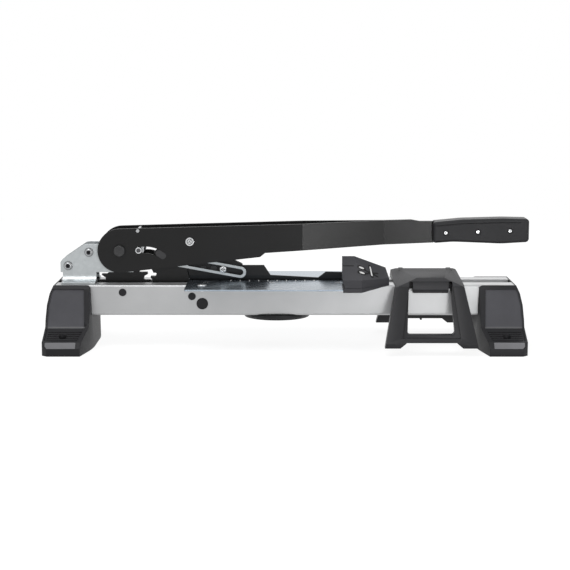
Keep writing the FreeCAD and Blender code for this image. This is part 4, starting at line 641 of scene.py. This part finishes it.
def model_feet():
    foot = foot_body()
    carve(foot, *foot_tools())
    with Shaping(foot) as work:
        work.outward()
    smooth(foot)
    # The field, the ledge and the toe strip get lighter finishes: painted light on faces turned up
    # to the lamps; the field's grain is real.
    finishes = [FINISHES["foot_plastic"], FIELD_GRAIN_PAINTED_LIGHT, LEDGE_PAINTED_HIGHLIGHT, STRIP_PAINTED_HIGHLIGHT]
    coat(foot, finishes, {
        1: lambda spot, direction: sunk(spot, direction, STEEP_LOW, STEEP_HIGH),
        2: lambda spot, direction: sunk(spot, direction, TREAD_HIGH, STEEP_LOW),
        3: lambda spot, direction: in_strip(spot, direction, SKIRT_TOP - 1.5)})
    dress(foot, "base", "foot_plastic", finishes, ["foot_left"])
    other = twin(foot, "foot_right_moulding", flip=(-1, 1, 1))
    dress(other, "base", "foot_plastic", finishes, ["foot_right"])


# Trestle, parked astride the beam

TRESTLE_X = 194.2
CAP_X = 196.6
TRESTLE_LEVELS = [
    (11, (132.4, 256), 106), (17, (133.7, 254.8), 106), (86, (149.4, 241.6), 57.4),
    (86.4, (148.7, 242.4), 56), (94.4, (149.4, 241.6), 52.6), (97.3, (151, 240), 47.5)]
LEG_SLOPE = [(17, 106), (86, 57.4), (94.4, 51.5)]
HOLLOW_LEVELS = [(0, 103), (11, 95), (83.2, 41.5), (86.2, 41.5)]
PAST_X, PAST_Y = (100, 290), (-130, 130)
LEG_PAST = 12
CAP_SLOPE_SPOT, CAP_SLOPE_WAY = (24.5, -53, 94.5), (0.371, -0.083, 0.925)
FRAME_STEP = 4
FRAME_LEVELS = [(23.6, TRESTLE_X, 38.6), (86, CAP_X, 29.6), (92.6, CAP_X, 28.6)]
LIP_HALF, LIP_GAP_END = 24.2, 28.6
LIP_LOW, LIP_TOP, LIP_FACE = 77, 94, 52.4
EAR_REACH, EAR_WIDTH = 37.5, 8
NUB_X = CAP_X + 1


def around(middle, half):
    return (middle - half, middle + half)


def leg_face(z):
    """Distance of the sloping leg face from the middle at a height."""
    return between(LEG_SLOPE, z)


def leg_cutter(name, levels, depth, side):
    """A slab that follows the slope of a leg and sinks into it by depth."""
    rising = []
    for z, middle, half in levels:
        ends = sorted(((leg_face(z) - depth) * side, (leg_face(z) + LEG_PAST) * side))
        rising.append((z, around(middle, half), tuple(ends)))
    return raised(name, rising)


def trestle_body():
    trestle = raised("trestle_moulding", [
        (z, across, (-deep, deep)) for z, across, deep in TRESTLE_LEVELS])
    reach, near, up = CAP_SLOPE_SPOT
    with Shaping(trestle) as work:
        for x in (-1, 1):
            way = Vector(CAP_SLOPE_WAY)
            way.x *= x
            work.everything()
            work.slice((CAP_X + reach * x, near, up), way.normalized(), True)
        work.outward()
    return trestle


def trestle_tools():
    """What is cut out of the trestle: its hollow, window, foot notch, steps and lip gaps."""
    hollow = raised("hollow", [(z, PAST_X, (-deep, deep)) for z, deep in HOLLOW_LEVELS])
    window = raised("window", [
        (27.2, around(TRESTLE_X, 31.5), PAST_Y), (82, around(TRESTLE_X + 1, 28.5), PAST_Y)])
    with Shaping(window) as work:
        work.edges(lambda a, b: abs(a.z - b.z) < NEAR and a.z < 30 and abs(a.x - b.x) < NEAR)
        work.bevel(4, 5)
    notch = raised("notch", [
        (5, around(TRESTLE_X, 48), PAST_Y), (11, around(TRESTLE_X, 41.5), PAST_Y),
        (18.2, around(TRESTLE_X, 33), PAST_Y)])
    tools = [hollow, window, notch]
    for side in (-1, 1):
        tools.append(leg_cutter("frame_step", FRAME_LEVELS, FRAME_STEP, side))
        for x in (-1, 1):
            low, high = sorted((CAP_X + 24 * x, CAP_X + LIP_GAP_END * x))
            near, far = sorted((45 * side, 70 * side))
            tools.append(block("lip_gap", (low, near, 78), (high, far, 92.6)))
    return tools


def trestle_extras():
    """What is added to the trestle: two lips, two ears and the nub under the window."""
    extra = []
    for side in (-1, 1):
        near, far = sorted((46 * side, LIP_FACE * side))
        lip = block("lip", (CAP_X - LIP_HALF, near, LIP_LOW), (CAP_X + LIP_HALF, far, LIP_TOP))
        with Shaping(lip) as work:
            work.edges(lambda a, b: abs(a.y - b.y) > 1 and max(a.z, b.z) < LIP_LOW + 1)
            work.bevel(1.8, 3)
        extra.append(lip)
    for x in (-1, 1):
        outer = CAP_X + EAR_REACH * x
        low, high = sorted((outer, outer - EAR_WIDTH * x))
        extra.append(raised("ear", [
            (92, (low, high), (28, 47)), (97.2, (low, high), (28, 47)),
            (98.7, (low + 1.5, high - 1.5), (32, 45.5))]))
    extra.append(raised("nub", [
        (14.6, around(NUB_X, 1.2), (97, 101)), (22, around(NUB_X, 2.4), (97, 102))]))
    return extra


def model_trestle():
    trestle = trestle_body()
    carve(trestle, *trestle_tools())
    grow(trestle, *trestle_extras())
    ease(trestle, 0.8, 3)
    smooth(trestle)

    def on_cap(spot, direction):
        top = spot.z > 86.5 and direction.z > 0.3
        lip = (abs(spot.x - CAP_X) < LIP_HALF + NEAR and spot.z > LIP_LOW - 0.5
               and abs(direction.y) > 0.5 and abs(spot.y) > 51)
        return top or lip

    # The cap's upward faces and its lips get the lighter finish: painted light from above, over a
    # real grain.
    finishes = [FINISHES["trestle_plastic"], CAP_GRAIN_PAINTED_LIGHT]
    coat(trestle, finishes, {1: on_cap})
    dress(trestle, "trestle", "trestle_plastic", finishes, ["trestle"])


# Screws, bolts and rivets

FRONT, BACK, UP = (90, 0, 0), (-90, 0, 0), (0, 0, 0)
HAIR = 0.01


def head(radius, height, rounding, drive=None, sides=48, dish=0.0):
    """A screw head that stands on the floor and faces up, with its drive cut in."""
    piece = rod("head", (0, 0, 0), radius, height, sides=sides)
    with Shaping(piece) as work:
        work.edges(lambda a, b: min(a.z, b.z) > height - HAIR)
        work.bevel(rounding, 4)
        if dish:
            work.faces(lambda spot, direction: direction.z > 0.99 and spot.z > height - HAIR)
            work.inset(radius * 0.22)
            work.extrude((0, 0, -dish))
            work.inset(radius * 0.10)
    if drive == "socket":
        carve(piece, rod("socket", (0, 0, height * 0.35), radius * 0.48, height, sides=6))
    elif drive == "cross":
        arm, half = radius * 0.62, radius * 0.13
        carve(piece, block("slot", (-arm, -half, height * 0.3), (arm, half, height * 2)),
              block("slot", (-half, -arm, height * 0.3), (half, arm, height * 2)))
    elif drive == "star":
        points = [rod("star", (0, 0, height * 0.35), radius * 0.40, height, sides=6)]
        points.append(twin(points[0], "star_turned", turn=(0, 0, 30)))
        carve(piece, *points)
    return piece


def nut(across, thickness, hole):
    """A six-sided nut with eased corners and its thread hole."""
    piece = rod("nut", (0, 0, 0), across / math.sqrt(3), thickness, sides=6)
    with Shaping(piece) as work:
        work.edges(lambda a, b: abs(a.z - b.z) < HAIR)
        work.bevel(thickness * 0.09, 2)
    carve(piece, rod("thread", (0, 0, -1), hole, thickness + 2))
    return piece


def rivet_head():
    """A peened head with a ring groove, a centre hole and three punch marks."""
    piece = head(6, 1.6, 0.6)
    ring = rod("ring", (0, 0, 1.1), 3.9, 2)
    carve(ring, rod("ring_core", (0, 0, 0), 3.1, 5))
    marks = [ring, rod("centre", (0, 0, 0.5), 0.9, 3)]
    for step in range(3):
        angle = math.radians(120 * step + 75)
        spot = (2.1 * math.cos(angle), 2.1 * math.sin(angle), 0.8)
        marks.append(rod("punch", spot, 0.55, 3, sides=16))
    carve(piece, *marks)
    # Painted shade in the ring groove, the centre hole and the punch marks.
    coat(piece, RIVET_PAIR, {1: lambda spot, direction: direction.z < 0.5 or spot.z < 1.5})
    return piece


def set_at(piece, spots, facing):
    """Copies of a piece at several spots, turned to face one way."""
    made = [twin(piece, "copy", spot, turn=facing) for spot in spots]
    bpy.data.objects.remove(piece)
    return made


def in_front(piece, spots, y):
    """Copies of a piece that face the operator, at spots given as (x, z)."""
    return set_at(piece, [(x, y, z) for x, z in spots], FRONT)


def both_sides(piece, spots, half):
    """Copies of a piece at both ends of shanks that reach from -half to half."""
    made = in_front(twin(piece, "front"), spots, -half)
    return made + set_at(piece, [(x, half, z) for x, z in spots], BACK)


def shank(spot, start, radius, length):
    """A plain round bar along Y at a spot given as (x, z)."""
    return rod("shank", (spot[0], start, spot[1]), radius, length, "Y")


def hardware(name, parts, body, slot, nodes, finishes=()):
    for part in parts:
        smooth(part)
    dress(gather(name, parts), body, slot, finishes, nodes)


def paint_shade_on(parts, plain, shade, test):
    """Paint shade on the faces of small parts that a test picks, as a dark finish on rims, sockets
    and grooves, and keep the rest plain.
    """
    for part in parts:
        coat(part, (plain, shade), {1: test})


def nowhere(spot, direction):
    return False


def pivot_hardware():
    spot = (-225.2, 130.8)
    flats, height, seat = 14.3, 6.4, -23.1
    bolt = rod("bolt", (0, 0, 0), flats / math.sqrt(3), height, sides=6)
    with Shaping(bolt) as work:
        work.edges(lambda a, b: abs(a.z - b.z) > height / 2)
        work.bevel(2.2, 4)
        work.edges(lambda a, b: min(a.z, b.z) > height - NEAR)
        work.bevel(0.9, 3)
        work.faces(lambda point, direction: direction.z > 0.99 and point.z > height - NEAR)
        work.inset(0.8)
        work.inset(0.5, -0.25)
    parts = in_front(bolt, [spot], seat) + [shank(spot, seat, 5, 56.2)]
    with Shaping(parts[-1]) as work:
        work.edges(lambda a, b: min(a.y, b.y) > 33)
        work.bevel(0.8, 2)
    hardware("pivot_bolt_turned", parts, "base", "black_bolt", ["pivot_bolt"])
    parts = in_front(nut(flats, 8, 5.02), [spot], 31.1)
    hardware("pivot_nut_pressed", parts, "base", "black_bolt", ["pivot_nut"])


def bracket_hardware():
    spots = [(-296.2, 109.6), (-267.6, 128.1)]
    washer = head(6, 1.2, 0.9)
    dome = head(4.6, 3.6, 1.4, "star")
    shanks = [shank(spot, -18, 3, 42) for spot in spots]
    pair = (FINISHES["zinc_screw"], RING_PAINTED_SHADE)
    # Painted shade on the washers' rims and in the domes' sockets.
    paint_shade_on([washer], *pair, lambda spot, direction: abs(direction.z) < 0.9)
    paint_shade_on([dome], *pair, lambda spot, direction: spot.xy.length < 2 or direction.z < 0.3)
    paint_shade_on(shanks, *pair, nowhere)
    parts = in_front(washer, spots, -18) + in_front(dome, spots, -18) + shanks
    hardware("bracket_screw_pair", parts, "base", "zinc_screw", ["bracket_screws"], pair)
    parts = in_front(nut(10, 5, 3.02), spots, 23)
    hardware("bracket_nut_pair", parts, "base", "zinc_screw", ["bracket_nuts"])


def rivet_hardware():
    spot, half = (-129.4, 143.2), 23
    parts = both_sides(rivet_head(), [spot], half)
    bar = shank(spot, -half, 4, 2 * half)
    coat(bar, RIVET_PAIR, {})
    hardware("blade_rivet_set", parts + [bar], "lever", "bright_screw", ["blade_rivet"],
             RIVET_PAIR)


def link_hardware():
    spot = (-84.8, 103.7)
    parts = in_front(head(5, 2.8, 0.6, "cross", sides=6), [spot], -9.8)
    parts.append(shank(spot, -9.8, 2.6, 23.4))
    hardware("link_bolt_turned", parts, "blade_unit", "bright_screw", ["link_bolt"])
    parts = in_front(nut(8, 2.8, 2.62), [spot], 12.6)
    hardware("link_nut_pressed", parts, "blade_unit", "zinc_screw", ["link_nut"])


def latch_hardware():
    spot, half, radius = (-199.2, 131.2), 23, 4.4
    pin = head(radius, 1.8, 0.5, dish=0.7)
    bar = shank(spot, -half, radius, 2 * half)
    pair = (FINISHES["bright_screw"], PIN_DISH_SHADE)
    # Painted shade in the dished faces of the pin's heads.
    paint_shade_on([pin], *pair, lambda spot, direction: spot.xy.length < 3.2)
    paint_shade_on([bar], *pair, nowhere)
    parts = both_sides(pin, [spot], half)
    hardware("latch_pin_turned", parts + [bar], "latch", "bright_screw", ["latch_pin"], pair)


def grip_hardware():
    spots, half = [(219.9, 154.0), (263.8, 155.4), (307.7, 156.8)], 13.5
    button = head(2.6, 1.05, 0.7, "star")
    shanks = [shank(spot, -half, 2, 2 * half) for spot in spots]
    pair = (FINISHES["bright_screw"], RING_PAINTED_SHADE)
    # Painted shade on the buttons' sides and in their sockets.
    paint_shade_on([button], *pair, lambda spot, direction: direction.z < 0.8 or spot.z < 0.8)
    paint_shade_on(shanks, *pair, nowhere)
    parts = both_sides(button, spots, half)
    hardware("grip_screw_set", parts + shanks, "lever", "bright_screw", ["grip_screws"], pair)


def table_hardware():
    spots = [(x, y) for x in (-106.8, -18.1, 73.2) for y in (-27, 27)]
    parts = set_at(head(4.7, 1.6, 0.3, "cross"), [(*spot, 86.4) for spot in spots], UP)
    parts += [rod("shank", (*spot, 80), 2.5, 7) for spot in spots]
    hardware("table_screw_set", parts, "base", "zinc_screw", ["table_screws"],
             [FINISHES["bright_screw"]])
    button = (-111.5, -56)
    parts = set_at(head(6.7, 1.5, 1.0), [(*button, 88)], UP)
    parts.append(rod("stem", (*button, 80), 3, 8.5))
    hardware("table_button_pressed", parts, "base", "bright_screw", ["table_button"])


# Marks on the fence and the table

FENCE_FACE = Matrix((
    (0.8835, 0.0, 0.4685, 110.31),
    (0.1903, 0.9138, -0.3588, -69.24),
    (-0.4281, 0.4061, 0.8073, 108.71),
    (0, 0, 0, 1)))
ROOT = -0.3
LOOPS = ((-9.1, 2.4), (-8.9, -9.8))
OVAL_TURN = 20
SEAM_LOW, SEAM_HIGH, SEAM_LEAN = (77.3, -70.5, 115.9), (92, -68.3, 116.56), 28.4
TICK_COUNT, TICK_FIRST, TICK_PITCH = 10, -74, 12.7
TICK_HALF, TICK_Y, TICK_Z = 0.6, (-17, -5), (87.9, 88.05)


def on_fence(piece):
    """Carry a flat mark from the floor onto the fence's sloping face."""
    alone(piece)
    face = FENCE_FACE.copy()
    face.translation *= MM
    piece.matrix_world = face @ piece.matrix_world
    return settle(piece, piece.name)


def bar_mark(start, end, width, high):
    """A rounded bar between two spots of the floor plane."""
    first, second = Vector(start), Vector(end)
    run = second - first
    piece = block("mark", (-run.length / 2, -width / 2, ROOT), (run.length / 2, width / 2, high))
    with Shaping(piece) as work:
        work.edges(lambda a, b: abs(a.z - b.z) > NEAR)
        work.bevel(width * 0.49, 5)
    middle = (first + second) / 2
    angle = math.degrees(math.atan2(run.y, run.x))
    return set_at(piece, [(middle.x, middle.y, 0)], (0, 0, angle))[0]


def oval_mark(centre, half_x, half_y, high, low=ROOT):
    piece = rod("mark", (0, 0, low), 1, high - low)
    piece.scale = (half_x, half_y, 1)
    settle(piece, "mark")
    return set_at(piece, [(*centre, 0)], (0, 0, OVAL_TURN))[0]


def model_marks():
    """Open shears, the fence's slot and seam, and the table's half-inch ticks, all raised; the
    white in the shears' loops and slot is a painted highlight.
    """
    dark = []
    for centre in LOOPS:
        ring = oval_mark(centre, 6.6, 4.6, 0.16)
        carve(ring, oval_mark(centre, 4.3, 2.3, 1, low=-1))
        dark.append(ring)
    dark.append(bar_mark((-4, 0.5), (16.8, -1.5), 2.9, 0.2))
    dark.append(bar_mark((-4, -8), (16.8, 8), 2.9, 0.16))
    dark.append(bar_mark((4.3, 19), (6.8, -10.5), 4.4, 0.24))
    seam = block("seam", SEAM_LOW, SEAM_HIGH, SEAM_LEAN)
    # Painted highlight: white inside the shears' loops and along the slot.
    white = [oval_mark(centre, 4.4, 2.4, 0.1) for centre in LOOPS]
    white.append(bar_mark((4.6, 15.6), (6.4, -6.8), 2.3, 0.34))
    ink = gather("fence_shears_outline", [on_fence(gather("ink", dark)), seam])
    dress(ink, "fence", "dark_plastic", [MARK_BLACK])
    fill = on_fence(gather("fence_shears_painted_highlight", white))
    dress(fill, "fence", "grey_plastic", [WHITE_MARK_AND_HIGHLIGHT])
    ticks = []
    for step in range(TICK_COUNT):
        x = TICK_FIRST + TICK_PITCH * step
        ticks.append(block("tick", (x - TICK_HALF, TICK_Y[0], TICK_Z[0]),
                           (x + TICK_HALF, TICK_Y[1], TICK_Z[1])))
    dress(gather("table_scale", ticks), "base", "grey_plastic", [WHITE_MARK_AND_HIGHLIGHT])


model_feet()
model_trestle()
pivot_hardware()
bracket_hardware()
rivet_hardware()
link_hardware()
latch_hardware()
grip_hardware()
table_hardware()
model_marks()


# Studio; places and sizes are in metres

WORLD_LIGHT = 0.28
FLOOR_SIZE, FLOOR_DROP = 3.2, 0.0004
FLOOR_BOUNCE = 0.8
FLOOR_SHADE = 0.22
FLOOR_GLOW = 0.89
CAMERA_PLACE = (0.00027, -2.05776, 0.38606)
CAMERA_DOWN = 8.4539
CAMERA_LENS, CAMERA_SENSOR = 95.06, 36.0


def seen_directly(tree):
    """1 for rays that show the backdrop: camera, glossy and transmission rays."""
    path = tree.nodes.new("ShaderNodeLightPath")
    total = path.outputs["Is Camera Ray"]
    for other in ("Is Glossy Ray", "Is Transmission Ray"):
        plus = tree.nodes.new("ShaderNodeMath")
        plus.operation = "MAXIMUM"
        tree.links.new(total, plus.inputs[0])
        tree.links.new(path.outputs[other], plus.inputs[1])
        total = plus.outputs[0]
    return total


def white_world():
    """A world that is white to look at and lights the object at a lower level."""
    world = bpy.data.worlds.new("studio")
    bpy.context.scene.world = world
    world.use_nodes = True
    tree = world.node_tree
    background = tree.nodes["Background"]
    background.inputs["Color"].default_value = (1, 1, 1, 1)
    level = tree.nodes.new("ShaderNodeMapRange")
    level.inputs["To Min"].default_value = WORLD_LIGHT
    level.inputs["To Max"].default_value = 1.0
    tree.links.new(seen_directly(tree), level.inputs["Value"])
    tree.links.new(level.outputs[0], background.inputs["Strength"])


def matt(tree, grey):
    """A plain grey diffuse shader."""
    shader = tree.nodes.new("ShaderNodeBsdfDiffuse")
    shader.inputs["Color"].default_value = (grey, grey, grey, 1)
    return shader


def pale_floor():
    """White floor that keeps a soft shadow under the cutter."""
    bpy.ops.mesh.primitive_plane_add(size=FLOOR_SIZE, location=(0, 0, -FLOOR_DROP))
    floor = bpy.context.object
    floor.name = "floor"
    material = bpy.data.materials.new("floor_white")
    material.use_nodes = True
    tree = material.node_tree
    tree.nodes.clear()
    out = tree.nodes.new("ShaderNodeOutputMaterial")
    mix = tree.nodes.new("ShaderNodeMixShader")
    plain = matt(tree, FLOOR_BOUNCE)
    soft = matt(tree, FLOOR_SHADE)
    glow = tree.nodes.new("ShaderNodeEmission")
    glow.inputs["Strength"].default_value = FLOOR_GLOW
    both = tree.nodes.new("ShaderNodeAddShader")
    tree.links.new(glow.outputs[0], both.inputs[0])
    tree.links.new(soft.outputs[0], both.inputs[1])
    tree.links.new(seen_directly(tree), mix.inputs[0])
    tree.links.new(plain.outputs[0], mix.inputs[1])
    tree.links.new(both.outputs[0], mix.inputs[2])
    tree.links.new(mix.outputs[0], out.inputs[0])
    floor.data.materials.append(material)


def soft_lamp(name, place, aim, width, height, power):
    lamp = bpy.data.lights.new(name, "AREA")
    lamp.shape = "RECTANGLE"
    lamp.size, lamp.size_y, lamp.energy = width, height, power
    stand = bpy.data.objects.new(name, lamp)
    bpy.context.scene.collection.objects.link(stand)
    stand.location = place
    stand.rotation_mode = "QUATERNION"
    stand.rotation_quaternion = (Vector(aim) - Vector(place)).to_track_quat("-Z", "Y")


def camera_at_photo():
    """Camera that matches the photograph: 2.06 m in front, looking down by 8.5 degrees."""
    data = bpy.data.cameras.new("photo_camera")
    data.lens = CAMERA_LENS
    data.sensor_width = CAMERA_SENSOR
    camera = bpy.data.objects.new("photo_camera", data)
    bpy.context.scene.collection.objects.link(camera)
    camera.location = CAMERA_PLACE
    camera.rotation_euler = (math.radians(90 - CAMERA_DOWN), 0, 0)
    bpy.context.scene.camera = camera


white_world()
pale_floor()
soft_lamp("key", (-0.5, -0.9, 1.7), (0, 0, 0.08), width=1.3, height=1.1, power=18)
soft_lamp("fill", (1.3, -1.1, 0.9), (0.05, 0, 0.1), width=1.0, height=1.0, power=5)
soft_lamp("rim", (0.2, 1.4, 1.3), (0, 0, 0.1), width=1.4, height=0.8, power=8)
soft_lamp("low_side", (0.34, -0.95, 0.07), (0.04, 0, 0.14), width=0.15, height=0.12, power=1.3)
camera_at_photo()
bpy.context.scene.view_settings.view_transform = "Standard"
